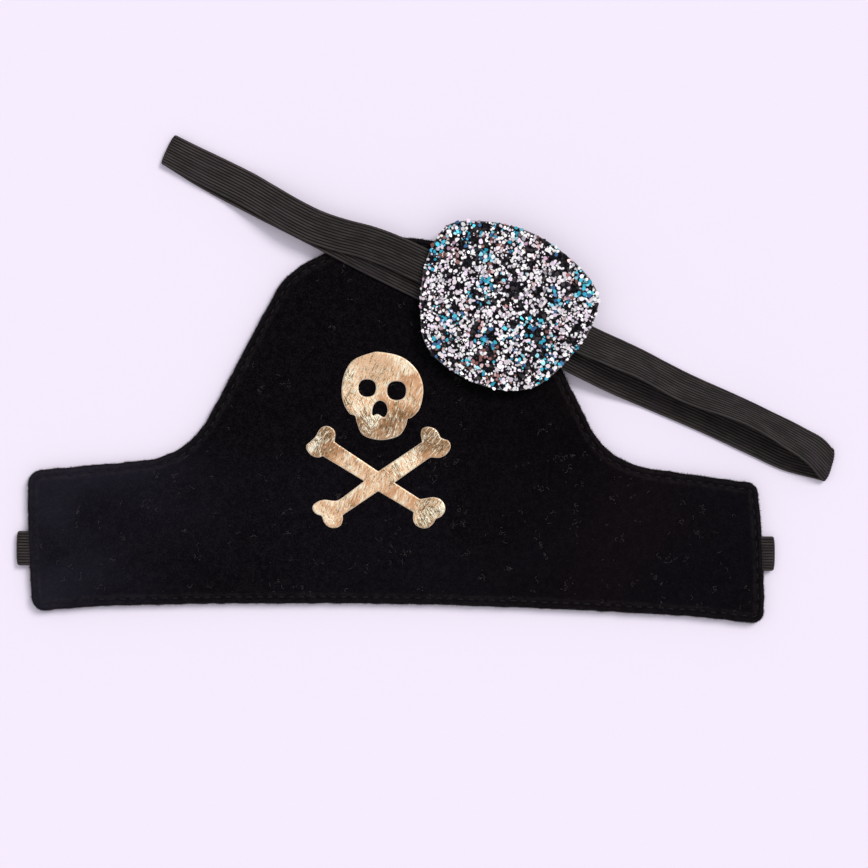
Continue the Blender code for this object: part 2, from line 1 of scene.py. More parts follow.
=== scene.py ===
"""The looks of a velvet pirate hat and its glitter eye patch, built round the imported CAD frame.

All sizes are in metres, in the CAD's own frame: +Z up, the hat's crown towards +Y.
"""

import random
from math import cos, hypot, pi, radians, sin, sqrt, tan

import bmesh
import bpy
import numpy as np
from mathutils import Matrix, Vector, geometry, noise


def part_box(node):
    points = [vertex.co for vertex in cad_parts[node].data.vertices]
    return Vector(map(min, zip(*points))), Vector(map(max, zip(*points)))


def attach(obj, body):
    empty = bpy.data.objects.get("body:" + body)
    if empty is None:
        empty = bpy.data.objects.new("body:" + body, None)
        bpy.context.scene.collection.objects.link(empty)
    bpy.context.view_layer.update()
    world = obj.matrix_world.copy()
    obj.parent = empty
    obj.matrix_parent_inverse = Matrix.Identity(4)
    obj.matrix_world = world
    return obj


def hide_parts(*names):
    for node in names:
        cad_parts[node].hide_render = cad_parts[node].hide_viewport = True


MM = 0.001
SEED = 7
GAP = 0.3 * MM  # air between CAD solids that touch
WELD = 0.05 * MM  # outline points nearer than this are one

# The hat.
STITCH_INSET = 2.3 * MM
STITCH_LENGTH = 2.5 * MM
STITCH_PITCH = 3.7 * MM
THREAD_RADIUS = 0.21 * MM
EDGE_WANDER = 0.25 * MM
ROLL_WIDTH = 1.9 * MM  # the velvet's rounded edge
ROLL_HEIGHT = 2.1 * MM
FURROW_DEPTH = 0.42 * MM
FURROW_HALF_WIDTH = 0.75 * MM
PUFF = 0.22 * MM  # the velvet stands this much prouder away from the stitching
SWELL_WIDTH = 9 * MM
SETTLE_WIDTH = 6 * MM
VELVET_SKIN = 0.6 * MM
# Painted sheen lines on the velvet: distance from the edge and strength, then their width.
PAINTED_SHEEN_LINES = ((1.0 * MM, 0.8), (3.2 * MM, 1.0))  # distance from the edge, strength
PAINTED_SHEEN_WIDTH = 0.5 * MM
# Rows of points near the edge, by their distance from it.
VELVET_ROWS = (0.45 * MM, 1.0 * MM, 1.6 * MM, 2.3 * MM, 2.9 * MM, 3.5 * MM)
FELT_ROWS = (0.5 * MM, 1.1 * MM)
PATCH_ROWS = (0.35 * MM, 0.8 * MM)
PILE_LENGTH = (0.25 * MM, 0.72 * MM)
PILE_SPACING = 0.07 * MM
PILE_RADIUS = (0.035 * MM, 0.075 * MM)
PILE_ROOT = 0.12 * MM
LINT_COUNT = 620
LINT_TANGLE = 0.75 * MM
LINT_LENGTH = (0.4 * MM, 2.2 * MM)
LINT_INSET = 3.5 * MM
FOIL_SKIN = 0.12 * MM
FOIL_LIFT = 0.04 * MM
RIM_WIDTH = 0.5 * MM

# The ribbed elastics, and the channel in the felt where the hat's own one lies.
ELASTIC_WIDTH = 12.0 * MM
ELASTIC_THICKNESS = 0.9 * MM
FOLD_REACH = 9.0 * MM
FOLD_STEPS = 8
RIBS = 12
RIB_POINTS = 5
BACK_ELASTIC_Y = -17.9 * MM
BACK_ELASTIC_TILT = radians(0.78)
CHANNEL_DEPTH = 1.28 * MM
CHANNEL_FOOT = 0.25 * MM  # its wall rises from this far past the elastic
CHANNEL_TOP = 0.9 * MM  # to this far

# The eye patch, set out across its widest level.
PATCH_CENTRE = Vector((38.4 * MM, 74.8 * MM, 0.0))
PATCH_TURN = radians(-24.1)
PATCH_HALF_AT_STRAP = 30.5 * MM
PATCH_ROLL = 0.9 * MM
FLAKE_THICKNESS = 0.05 * MM
CHIP_REACH = (0.70, 1.30)  # a chip's corners, as shares of its radius
STRAP_BELOW_CENTRE = 5.9 * MM
STRAP_LEFT_FOLD = -129.2 * MM
STRAP_RIGHT_FOLD = 126.6 * MM
STRAP_TUCK = 12.0 * MM
LEFT_PINCH = 0.7 * MM  # the strap is drawn in this much at its left fold
RIGHT_FOLD_SKEW = 1.8 * MM
HAT_REACH_LEFT = 78.0 * MM
HAT_REACH_RIGHT = 30.0 * MM
DROOP_LENGTH = 32.0 * MM
# Where the strap's runs wander across its mean line: (along, across) in mm.
TOP_LEFT_RUN = (
    (-32, -0.1), (-44, -0.2), (-53, -1.0), (-62, -2.7), (-71, -3.8), (-80, -3.7),
    (-90, -2.8), (-100, -1.9), (-118, -1.5), (-129.2, -1.1),
)
BOTTOM_RUN = (
    (-129.2, -1.1), (-117, -2.3), (-93, -3.6), (-70, -4.4), (-50, -5.2), (-20, -5.6),
    (20, -5.9), (44, -6.3), (62, -5.6), (82, -4.9), (101, -4.8), (114, -4.6), (126.6, -2.2),
)
# The right-hand top run leans up on its outer edge: (along, across, lean in degrees, width in mm).
TOP_RIGHT_RUN = (
    (19, 0.6, 0, 12), (28, 0.7, 20, 12), (36, 0.8, 26, 12), (44, 1.1, 28, 12),
    (52, 1.4, 32, 12), (60, 1.1, 32, 12), (68, 0.7, 29, 12), (76, 0.9, 32, 12),
    (85, 1.6, 38, 11.8), (94, 2.0, 41, 11.5), (102, 1.8, 40, 11.6), (110, 1.2, 34, 12),
    (116, 0.7, 30, 12), (121, -0.1, 20, 12), (126.6, -2.2, 0, 12),
)

# Light and camera.
CAMERA_OVER = Vector((12.6 * MM, 23.4 * MM, 0.0))
CAMERA_ROLL = radians(1.2)
CAMERA_LENS = 100.0
SENSOR = 36.0
FRAME_WIDTH = 303.8 * MM
PAPER_COLOUR = (0.885, 0.815, 0.945)
SUN_WAY = Vector((0.52, 0.50, 0.80))
SKY = ((0.42, 0.42, 0.45, 1), (0.86, 0.86, 0.88, 1))  # below and overhead


# Small helpers.

def ease(value, start, end):
    """0 at start, 1 at end and smooth in between."""
    share = min(1.0, max(0.0, (value - start) / (end - start)))
    return share * share * (3 - 2 * share)


def hermite(knots, place, column=1):
    """A smooth value read from knots, sorted by their first number."""
    last = len(knots) - 2
    i = next((k for k in range(last) if place < knots[k + 1][0]), last)
    a, b = knots[max(i - 1, 0)], knots[i]
    c, d = knots[i + 1], knots[min(i + 2, len(knots) - 1)]
    span = c[0] - b[0]
    t = min(1.0, max(0.0, (place - b[0]) / span))
    rise_b = (c[column] - a[column]) / (c[0] - a[0]) * span
    rise_c = (d[column] - b[column]) / (d[0] - b[0]) * span
    t2, t3 = t * t, t * t * t
    return ((2 * t3 - 3 * t2 + 1) * b[column] + (t3 - 2 * t2 + t) * rise_b
            + (3 * t2 - 2 * t3) * c[column] + (t3 - t2) * rise_c)


def wave(place, scale_x, scale_y, layer):
    """Smooth noise at a place on a layer of its own, from -1 to 1."""
    x, y = place
    return noise.noise(Vector((x * scale_x, y * scale_y, layer)))


def waves(points, scale_x, scale_y, layer):
    return np.array([wave(point, scale_x, scale_y, layer) for point in points])


def rolled(near, width):
    """A quarter round: 0 at the edge and 1 from width inside it."""
    return np.sqrt(1 - (1 - np.clip(near / width, 0, 1)) ** 2)


def add_object(name, data):
    obj = bpy.data.objects.new(name, data)
    bpy.context.scene.collection.objects.link(obj)
    return obj


def piece(name, shape, look, body, smooth=True):
    """A mesh object in the row frame, from its points and faces, that rides on a CAD body."""
    points, faces = shape
    mesh = bpy.data.meshes.new(name)
    mesh.from_pydata([tuple(p) for p in points], [], faces)
    mesh.materials.append(LOOKS[look])
    mesh.validate()
    if smooth:
        mesh.shade_smooth()
    obj = add_object(name, mesh)
    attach(obj, body)
    return obj


def mark(obj, name, share, rest):
    """Keeps share on a closed sheet's top and under points, and rest on those of its rim."""
    values = np.full(len(obj.data.vertices), rest)
    values[:2 * len(share)] = np.concatenate([share, share])
    obj.data.attributes.new(name, "FLOAT", "POINT").data.foreach_set("value", values)


# Flat outlines and the meshes that fill them.

def flat_loops(node):
    """The closed edges of a CAD node's highest flat face, the longest first."""
    shaped = bmesh.new()
    shaped.from_mesh(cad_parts[node].data)
    bmesh.ops.remove_doubles(shaped, verts=shaped.verts, dist=0.002 * MM)
    top = max(v.co.z for v in shaped.verts)
    flat = {f for f in shaped.faces if all(abs(v.co.z - top) < 0.01 * MM for v in f.verts)}
    follows = {}
    for edge in shaped.edges:
        beside = [f for f in edge.link_faces if f in flat]
        if len(beside) == 1:
            loop = next(item for item in beside[0].loops if item.edge == edge)
            follows[loop.vert] = loop.link_loop_next.vert
    loops = []
    while follows:
        start, vert = next(iter(follows.items()))
        loop = [start.co.xy.copy()]
        follows.pop(start)
        while vert != start:
            loop.append(vert.co.xy.copy())
            vert = follows.pop(vert)
        loops.append(loop)
    shaped.free()
    loops.sort(key=lambda loop: -sum((b - a).length for a, b in sides_of(loop)))
    return loops


def sides_of(loop):
    return zip(loop, loop[1:] + loop[:1])


def table(loop):
    return np.array([tuple(p) for p in loop])


def divide(loop, spacing):
    """The loop with new points about spacing apart on its straight sides."""
    made = []
    for a, b in sides_of(loop):
        steps = max(1, round((b - a).length / spacing))
        made += [a.lerp(b, step / steps) for step in range(steps)]
    return made


def refine(loop, spacing):
    """The loop as a smooth curve through its points, with new points about spacing apart."""
    points = [loop[0]]
    for point in loop[1:]:
        if (point - points[-1]).length > WELD:
            points.append(point)
    if (points[-1] - points[0]).length < WELD:
        points.pop()
    count = len(points)
    made = []
    for i in range(count):
        p = [points[(i + k) % count] for k in (-1, 0, 1, 2)]
        knots = [0.0]
        for a, b in zip(p, p[1:]):
            knots.append(knots[-1] + sqrt((b - a).length))
        steps = max(1, round((p[2] - p[1]).length / spacing))
        for step in range(steps):
            made.append(through(p, knots, knots[1] + (knots[2] - knots[1]) * step / steps))
    return made


def through(p, knots, t):
    """A point of the curve that passes through p at knots."""
    level = list(p)
    for spans in (((0, 1), (1, 2), (2, 3)), ((0, 2), (1, 3)), ((1, 2),)):
        for i, (low, high) in enumerate(spans):
            share = (t - knots[low]) / (knots[high] - knots[low])
            level[i] = level[i] * (1 - share) + level[i + 1] * share
    return level[0]


def offset_loop(loop, distance):
    """The anticlockwise loop moved inwards."""
    moved = []
    count = len(loop)
    for i in range(count):
        forward = (loop[(i + 1) % count] - loop[i - 1]).normalized()
        moved.append(loop[i] + Vector((-forward.y, forward.x)) * distance)
    return moved


def rows_inside(loops, distances):
    return [p for loop in loops for distance in distances for p in offset_loop(loop, distance)]


def uneven(loop, amount):
    """The loop with the small waves of a hand-turned edge."""
    moved = []
    for inner, point in zip(offset_loop(loop, MM), loop):
        shift = wave(point, 230, 230, 6.2)
        shift += 0.5 * wave(point, 560, 560, 2.6)
        moved.append(point + (inner - point).normalized() * amount * shift)
    return moved


def inside(points, loops):
    """Which of the points lie inside the first loop and outside the others."""
    result = np.zeros(len(points), bool)
    for edge in map(table, loops):
        for a, b in zip(edge, np.roll(edge, -1, axis=0)):
            crosses = (a[1] > points[:, 1]) != (b[1] > points[:, 1])
            if crosses.any():
                x = a[0] + (points[:, 1] - a[1]) * (b[0] - a[0]) / (b[1] - a[1] + 1e-12)
                result ^= crosses & (points[:, 0] < x)
    return result


class Edge:
    """How far points are from a rim, and how far round it the nearest place is."""

    def __init__(self, loops):
        starts, ends, along = [], [], []
        for here in map(table, loops):
            there = np.roll(here, -1, axis=0)
            sides = np.linalg.norm(there - here, axis=1)
            starts.append(here)
            ends.append(there)
            along.append(np.concatenate([[0], np.cumsum(sides)[:-1]]))
        self.start, self.end = np.concatenate(starts), np.concatenate(ends)
        self.along = np.concatenate(along)

    def measure(self, points):
        side = self.end - self.start
        square = np.maximum((side ** 2).sum(1), 1e-18)
        near, round_it = [], []
        for first in range(0, len(points), 2000):
            part = points[first:first + 2000]
            offset = part[:, None, :] - self.start[None]
            share = np.clip((offset * side).sum(2) / square, 0, 1)
            gap = np.linalg.norm(offset - share[:, :, None] * side, axis=2)
            best = gap.argmin(1)
            row = np.arange(len(part))
            near.append(gap[row, best])
            round_it.append(self.along[best] + share[row, best] * np.sqrt(square[best]))
        return np.concatenate(near), np.concatenate(round_it)


def fill(loops, spacing, extra=()):
    """Points and triangles that fill the first loop and leave out the others."""
    outer = table(loops[0])
    low, high = outer.min(0), outer.max(0)
    rows = np.arange(low[1], high[1], spacing * sqrt(0.75))
    grid = [(x, y) for k, y in enumerate(rows)
            for x in np.arange(low[0] + spacing / 2 * (k % 2), high[0], spacing)]
    grid = np.array(grid + [tuple(p) for p in extra])
    grid = grid[inside(grid, loops)]
    grid = grid[Edge(loops).measure(grid)[0] > spacing * 0.45]
    points = [Vector(p) for loop in loops for p in loop] + [Vector(p) for p in grid]
    sides, first = [], 0
    for loop in loops:
        count = len(loop)
        sides += [(first + i, first + (i + 1) % count) for i in range(count)]
        first += count
    found = geometry.delaunay_2d_cdt(points, sides, [], 0, 1e-9)
    verts, faces = table(found[0]), table(found[2])
    faces = faces[inside(verts[faces].mean(axis=1), loops)]
    turned = doubled_areas(verts, faces) < 0
    faces[turned] = faces[turned][:, ::-1]
    used = np.unique(faces)
    number = np.full(len(verts), -1)
    number[used] = np.arange(len(used))
    return verts[used], number[faces]


def doubled_areas(plan, faces):
    """Twice each triangle's area, below 0 where it is wound clockwise."""
    a, b, c = (plan[faces[:, k]] for k in range(3))
    return np.cross(b - a, c - a)


def border(faces):
    """The directed edges that only one triangle has."""
    edges = np.concatenate([faces[:, [0, 1]], faces[:, [1, 2]], faces[:, [2, 0]]])
    pairs = {tuple(edge) for edge in edges.tolist()}
    return [edge for edge in pairs if (edge[1], edge[0]) not in pairs]


def closed_sheet(plan, faces, top, under, rings=()):
    """A closed body from a top and an under height for each point of a triangulated plan.

    rings gives the rim between them as (inset, height) pairs, from the top's edge downwards."""
    count = len(plan)
    points = [(x, y, z) for (x, y), z in zip(plan, top)]
    points += [(x, y, z) for (x, y), z in zip(plan, under)]
    made = [tuple(f) for f in faces.tolist()]
    made += [tuple(count + v for v in f[::-1]) for f in faces.tolist()]
    edges = border(faces)
    after, before = dict(edges), {b: a for a, b in edges}
    levels = [{v: v for v in after}]
    for inset, height in rings:
        level = {}
        for vert in after:
            here = Vector(plan[vert])
            forward = (Vector(plan[after[vert]]) - Vector(plan[before[vert]])).normalized()
            place = here + Vector((-forward.y, forward.x)) * inset
            level[vert] = len(points)
            points.append((place.x, place.y, height))
        levels.append(level)
    levels.append({v: count + v for v in after})
    for upper, lower in zip(levels, levels[1:]):
        made += [(upper[b], upper[a], lower[a], lower[b]) for a, b in edges]
    return points, made


# Materials. Object coordinates are in metres, so a texture's scale is one over its grain.

class Look:
    """A Principled material and short calls for the nodes that feed it."""

    def __init__(self, name, colour, roughness, **sockets):
        self.material = bpy.data.materials.new(name)
        self.material.use_nodes = True
        self.material.diffuse_color = (*colour, 1.0)
        self.tree = self.material.node_tree
        self.shader = self.tree.nodes["Principled BSDF"]
        self.colour = colour
        sockets.update(Base_Color=(*colour, 1.0), Roughness=roughness)
        for socket, value in sockets.items():
            self.shader.inputs[socket.replace("_", " ")].default_value = value

    def node(self, kind, inputs=None, **settings):
        made = self.tree.nodes.new(kind)
        for key, value in settings.items():
            setattr(made, key, value)
        for key, value in (inputs or {}).items():
            if isinstance(value, bpy.types.NodeSocket):
                self.tree.links.new(value, made.inputs[key])
            else:
                made.inputs[key].default_value = value
        return made

    def place(self, scale=(1, 1, 1), turn=0.0):
        """Object coordinates, turned about Z and then stretched: one node scales before it turns."""
        where = self.node("ShaderNodeTexCoord").outputs["Object"]
        turned = self.node("ShaderNodeMapping", {"Vector": where, "Rotation": (0, 0, turn)})
        return self.stretch(turned.outputs["Vector"], scale)

    def stretch(self, vector, scale):
        return self.node("ShaderNodeMapping", {"Vector": vector, "Scale": scale}).outputs["Vector"]

    def noise(self, scale, detail=3.0, roughness=0.5, vector=None, distortion=0.0):
        inputs = {"Vector": vector or self.place(), "Scale": scale, "Detail": detail,
                  "Roughness": roughness, "Distortion": distortion}
        return self.node("ShaderNodeTexNoise", inputs).outputs["Fac"]

    def streaks(self, scale, degrees, detail, roughness, distortion=0.0):
        vector = self.place((*scale, 1), radians(degrees))
        return self.noise(1.0, detail, roughness, vector, distortion)

    def math(self, operation, *values):
        return self.node("ShaderNodeMath", dict(enumerate(values)), operation=operation).outputs[0]

    def times(self, value, *others):
        for other in others:
            value = self.math("MULTIPLY", value, other)
        return value

    def plus(self, a, b):
        return self.math("ADD", a, b)

    def between(self, value, low, high, start=0.0, end=1.0):
        inputs = {"Value": value, "From Min": low, "From Max": high, "To Min": start, "To Max": end}
        made = self.node("ShaderNodeMapRange", inputs, interpolation_type="SMOOTHSTEP")
        return made.outputs["Result"]

    def mix(self, share, a, b, blend="MIX"):
        a, b = ((*c, 1.0) if isinstance(c, tuple) else c for c in (a, b))
        inputs = {0: share, 6: a, 7: b}
        return self.node("ShaderNodeMix", inputs, data_type="RGBA", blend_type=blend).outputs[2]

    def tint(self, share, colour, blend="MIX"):
        """Lays a colour over what the surface has so far."""
        self.colour = self.mix(share, self.colour, colour, blend)

    def attribute(self, name, output="Vector"):
        return self.node("ShaderNodeAttribute", attribute_name=name).outputs[output]

    def split(self, vector):
        return self.node("ShaderNodeSeparateXYZ", {"Vector": vector}).outputs

    def feed(self, socket, value):
        self.tree.links.new(value, self.shader.inputs[socket])

    def bump(self, height, distance, strength):
        inputs = {"Height": height, "Distance": distance, "Strength": strength}
        self.feed("Normal", self.node("ShaderNodeBump", inputs).outputs["Normal"])

    def done(self):
        self.feed("Base Color", self.colour)
        return self.material


def velvet_look():
    """Black pile with a blue sheen painted into its colour in brushed-looking patches, most on the
    left wing.
    """
    look = Look("velvet", (0.0025, 0.0025, 0.0032), 0.9, Sheen_Weight=0.035, Sheen_Roughness=0.3,
                Sheen_Tint=(0.75, 0.78, 1.0, 1.0), Specular_IOR_Level=0.012)
    pile = look.noise(2600, 2, 0.6)
    tufts = look.noise(560, 4, 0.65)
    painted_sheen_patches = look.noise(17, 2, 0.5, distortion=0.5)
    streaks = look.streaks((26, 70), -24, 2, 0.5)
    across, up, _ = look.split(look.place())
    # Painted sheen: blue-grey patches painted into the colour, strongest on the left wing and low on
    # the hat.
    left = look.between(across, -52 * MM, -104 * MM, 0.16, 1.0)
    band = look.between(up, 25 * MM, 4 * MM, 0.15, 1.0)
    painted_sheen_cloud = look.times(look.between(painted_sheen_patches, 0.30, 0.60, 0.28, 1.0),
                       look.between(streaks, 0.25, 0.6, 0.7, 1.0))
    look.colour = look.mix(look.times(left, band, painted_sheen_cloud), (0.0017, 0.0014, 0.0019),
                           (0.0112, 0.0100, 0.0170))
    warm = look.between(look.noise(19, 3), 0.42, 0.68)
    look.tint(look.times(warm, look.between(across, 0.0, 100 * MM), 0.55),
              (0.0052, 0.0030, 0.0036))
    grain = look.between(look.plus(pile, look.times(tufts, 0.5)), 0.66, 0.92)
    look.tint(look.times(grain, look.between(across, 0.0, 60 * MM, 0.72, 0.42)),
              (0.0078, 0.0064, 0.0074), "ADD")
    # Painted sheen: lighter lines painted into the colour on the roll's crest and past the stitches.
    painted_edge_sheen = look.times(look.attribute("painted_edge_sheen", "Fac"), look.between(tufts, 0.3, 0.6, 0.3, 1.0))
    look.tint(painted_edge_sheen, (0.0068, 0.0053, 0.0056), "ADD")
    specks = look.between(look.noise(1500, 3, 0.7), 0.66, 0.78)
    gathered = look.between(look.noise(85, 3, 0.6), 0.5, 0.64)
    look.tint(look.times(specks, gathered), (0.045, 0.036, 0.042))
    look.bump(look.plus(pile, tufts), 0.2 * MM, 0.6)
    return look.done()


def felt_look():
    look = Look("felt", (0.011, 0.011, 0.013), 0.95, Sheen_Weight=0.05, Sheen_Roughness=0.5,
                Specular_IOR_Level=0.05)
    fibres = look.noise(900, 5, 0.7, distortion=2.5)
    look.colour = look.mix(fibres, (0.005, 0.005, 0.006), (0.018, 0.018, 0.020))
    look.tint(look.between(look.noise(120, 3), 0.3, 0.7, 0.0, 0.6), (0.012, 0.0115, 0.013))
    look.bump(fibres, 0.2 * MM, 0.8)
    return look.done()


def elastic_look():
    """Charcoal ribs with painted shade in the grooves, painted shine in bands along the length,
    painted highlights along the edges and on the left-hand crests, and the fine cross weave of
    covered rubber.
    """
    look = Look("ribbed_elastic", (0.02, 0.019, 0.018), 0.7, Sheen_Weight=0.04,
                Sheen_Roughness=0.4, Specular_IOR_Level=0.07)
    along, across, _ = look.split(look.attribute("strip"))
    phase = look.times(across, RIBS * 2 * pi)
    crest = look.math("MULTIPLY_ADD", look.math("COSINE", phase), -0.5, 0.5)
    slant = look.math("ABSOLUTE", look.math("SINE", look.times(phase, 0.5)))
    tick = look.math("SINE", look.plus(look.times(along, 2 * pi / 0.62), look.times(slant, 3.6)))
    weave = look.between(tick, -1.0, 1.0)
    threads = look.noise(1.0, 3, 0.6, look.stretch(look.attribute("strip"), (0.45, 60, 1)))
    # Painted shade: the grooves between the ribs are painted near black and the crests lighter.
    look.colour = look.mix(look.between(crest, 0.06, 0.62), (0.0016, 0.0013, 0.0014),
                           (0.056, 0.0470, 0.0455))
    look.tint(look.times(weave, 0.42), (0.006, 0.005, 0.005))
    look.tint(look.between(threads, 0.52, 0.8, 0.0, 0.5), (0.055, 0.048, 0.044))
    look.tint(look.between(look.noise(150, 4, 0.65), 0.5, 0.8, 0.0, 0.35), (0.050, 0.043, 0.042))
    # Painted shine: darker bands along the strap's length between the lighter, shinier ones.
    painted_shine_bands = look.noise(1.0, 3, 0.6, look.stretch(look.attribute("strip"), (0.11, 5.5, 1)), 0.8)
    look.tint(look.between(painted_shine_bands, 0.34, 0.66, 0.5, 0.0), (0.0065, 0.0055, 0.0062))
    look.tint(look.between(look.noise(46, 2, 0.5), 0.5, 0.66, 0.0, 0.35), (0.034, 0.024, 0.034))
    # Painted highlight: a light line painted along both edges of the strip.
    from_middle = look.math("ABSOLUTE", look.math("SUBTRACT", across, 0.5))
    look.tint(look.between(from_middle, 0.450, 0.475, 0.0, 0.3), (0.080, 0.071, 0.068))
    # Painted light: the crests on the left-hand part of the strap are painted lighter, as if that
    # part were better lit.
    left = look.between(look.split(look.place())[0], -10 * MM, -50 * MM, 0.0, 0.8)
    look.tint(look.times(left, look.between(crest, 0.1, 0.6)), (0.013, 0.0104, 0.0094), "ADD")
    look.bump(look.plus(look.times(weave, 0.5), look.noise(2600, 2)), 0.09 * MM, 0.8)
    return look.done()


def foil_look():
    """Rose-gold foil: smooth copper with creamy painted highlights along its scratches, a painted
    highlight across the skull's brow and along the rim, and rough, cracked olive places.
    """
    look = Look("rose_gold_foil", (0.8, 0.56, 0.4), 0.34, Metallic=0.6, Specular_IOR_Level=0.3)
    steep = look.streaks((2500, 330), 14, 4, 0.7, 0.6)
    shallow = look.streaks((2300, 380), 36, 4, 0.7, 0.8)
    crossing = look.streaks((2300, 380), -30, 4, 0.7, 0.8)
    turns = look.noise(85, 2, 0.5)
    scratches = look.mix(look.between(turns, 0.46, 0.52), steep, shallow)
    scratches = look.mix(look.between(turns, 0.55, 0.6), scratches, crossing)
    clouds = look.noise(90, 3, 0.6, distortion=0.8)
    grit = look.noise(1250, 4, 0.75, distortion=1.2)

    # Rough round the jaw and the bones' upper ends, and at the lower right-hand end.
    across, up, _ = look.split(look.place())
    jaw = look.times(look.between(up, 13 * MM, 19 * MM), look.between(up, 34 * MM, 28 * MM))
    end = look.times(look.between(across, 5 * MM, 11 * MM), look.between(up, 3 * MM, -2 * MM))
    temple = look.times(look.between(across, -13 * MM, -18 * MM),
                        look.between(up, 30 * MM, 34 * MM))
    placed = look.math("MAXIMUM", look.math("MAXIMUM", jaw, end), temple)
    patches = look.noise(150, 3, 0.6, distortion=0.6)
    rough = look.between(look.plus(patches, look.times(placed, 0.17)), 0.55, 0.72)

    look.colour = look.mix(look.between(clouds, 0.36, 0.62), (0.64, 0.33, 0.165),
                           (0.93, 0.61, 0.37))
    look.tint(look.times(rough, 0.62), (0.36, 0.24, 0.105))
    look.tint(look.times(jaw, 0.7), (0.36, 0.185, 0.09))
    # Painted highlight: a lighter band painted across the skull's brow, strongest on its left.
    painted_brow_highlight = look.times(look.between(up, 38 * MM, 47 * MM),
                      look.between(across, 1 * MM, -8 * MM, 0.15, 1.0), 0.5)
    look.tint(painted_brow_highlight, (1.0, 0.74, 0.50))
    # Painted highlights: creamy colour painted along the scratches, more where the clouds are bright.
    light = look.plus(scratches, look.times(clouds, 0.38))
    look.tint(look.between(light, 0.70, 0.79), (1.0, 0.96, 0.76))
    fissures = look.streaks((3000, 420), 22, 3, 0.65, 1.0)
    fissures = look.math("SUBTRACT", fissures, look.times(rough, 0.035))
    look.tint(look.between(fissures, 0.415, 0.375, 0.0, 0.85), (0.15, 0.075, 0.03))
    cracks = look.math("SUBTRACT", look.times(grit, 0.7), look.times(scratches, 0.55))
    cracks = look.plus(cracks, look.times(rough, 0.09))
    look.tint(look.between(cracks, 0.15, 0.23, 0.0, 0.82), (0.11, 0.06, 0.025))
    # Painted highlight: a bright line painted along the foil's rim.
    look.tint(look.between(look.attribute("rim", "Fac"), 0.35, 0.9, 0.0, 0.9), (1.0, 0.80, 0.60))
    look.feed("Roughness", look.between(scratches, 0.35, 0.7, 0.5, 0.25))
    look.bump(look.plus(scratches, look.times(grit, 0.5)), 0.14 * MM, 0.7)
    return look.done()


def thread_look():
    look = Look("thread", (0.010, 0.010, 0.013), 0.6, Sheen_Weight=0.04, Specular_IOR_Level=0.1)
    twist = look.noise(1.0, 2, 0.5, look.place((2600, 2600, 900), 0.6))
    look.colour = look.mix(twist, (0.0036, 0.0032, 0.0042), (0.0110, 0.0102, 0.0132))
    look.bump(twist, 0.08 * MM, 0.7)
    return look.done()


def lint_look():
    look = Look("lint", (0.06, 0.05, 0.05), 0.8, Sheen_Weight=0.2)
    look.colour = look.mix(look.noise(90, 2), (0.022, 0.022, 0.028), (0.085, 0.058, 0.054))
    return look.done()


def pile_look():
    look = Look("pile_fringe", (0.01, 0.008, 0.008), 0.8, Sheen_Weight=0.05,
                Sheen_Tint=(1.0, 0.9, 0.8, 1.0))
    look.colour = look.mix(look.noise(400, 2), (0.004, 0.0032, 0.0036), (0.022, 0.0155, 0.0145))
    return look.done()


def glitter_base_look():
    """The dark cloth the flakes are glued to, with a pale cut edge."""
    look = Look("glitter_ground", (0.01, 0.009, 0.011), 0.7, Specular_IOR_Level=0.02)
    grit = look.noise(1500, 3, 0.7)
    look.colour = look.mix(look.between(grit, 0.42, 0.75), (0.0025, 0.002, 0.003),
                           (0.022, 0.018, 0.024))
    look.tint(look.between(look.attribute("rim", "Fac"), 0.3, 0.9, 0.0, 0.9), (0.20, 0.19, 0.20))
    look.bump(grit, 0.25 * MM, 0.9)
    return look.done()


def flake_look():
    """Glitter flakes, each with the colour kept on the mesh, which holds painted glints and painted
    dark reflections as well as the flakes' own colours.
    """
    look = Look("glitter_flakes", (0.6, 0.6, 0.66), 0.3, Metallic=0.12, Specular_IOR_Level=0.16)
    look.colour = look.attribute("flake", "Color")
    scuff = look.noise(2600, 2)
    look.tint(look.between(scuff, 0.55, 0.9, 0.0, 0.08), (0.03, 0.03, 0.04))
    look.feed("Roughness", look.between(scuff, 0.2, 0.8, 0.15, 0.45))
    return look.done()


def foam_look():
    look = Look("foam", (0.12, 0.12, 0.125), 0.95, Specular_IOR_Level=0.1)
    cells = look.node("ShaderNodeTexVoronoi", {"Vector": look.place(), "Scale": 2600.0})
    look.colour = look.mix(cells.outputs["Distance"], (0.05, 0.05, 0.053), (0.16, 0.16, 0.165))
    look.bump(cells.outputs["Distance"], 0.2 * MM, 0.8)
    return look.done()


def interlining_look():
    look = Look("interlining", (0.7, 0.7, 0.67), 0.9, Specular_IOR_Level=0.2)
    fibres = look.noise(1.0, 5, 0.7, look.place((1400, 500, 1400)), 1.5)
    look.colour = look.mix(fibres, (0.55, 0.55, 0.53), (0.8, 0.8, 0.77))
    look.bump(fibres, 0.15 * MM, 0.6)
    return look.done()


def paper_look():
    look = Look("paper", PAPER_COLOUR, 0.85, Specular_IOR_Level=0.1)
    look.colour = look.mix(look.noise(700, 3), tuple(c * 0.992 for c in PAPER_COLOUR),
                           tuple(min(1.0, c * 1.008) for c in PAPER_COLOUR))
    return look.done()


# The hat.

def velvet_height(near, round_it, points):
    """The velvet's top surface: a rolled edge, the stitched furrow and a soft swell inside it."""
    height = ROLL_LOW + ROLL_HEIGHT * rolled(near, ROLL_WIDTH)
    depth = FURROW_DEPTH * (0.80 - 0.18 * np.cos(2 * pi * round_it / STITCH_PITCH))
    height -= depth * np.exp(-((near - STITCH_INSET) / FURROW_HALF_WIDTH) ** 2)
    inner = np.clip((near - STITCH_INSET) / SWELL_WIDTH, 0, 1)
    height += PUFF * (1 - (1 - inner) ** 2)
    broad = waves(points, 32, 32, 3.1)
    fine = waves(points, 150, 150, 8.4)
    settle = np.clip(near / SETTLE_WIDTH, 0, 1)
    return height + settle * (0.10 * MM * broad + 0.05 * MM * fine)


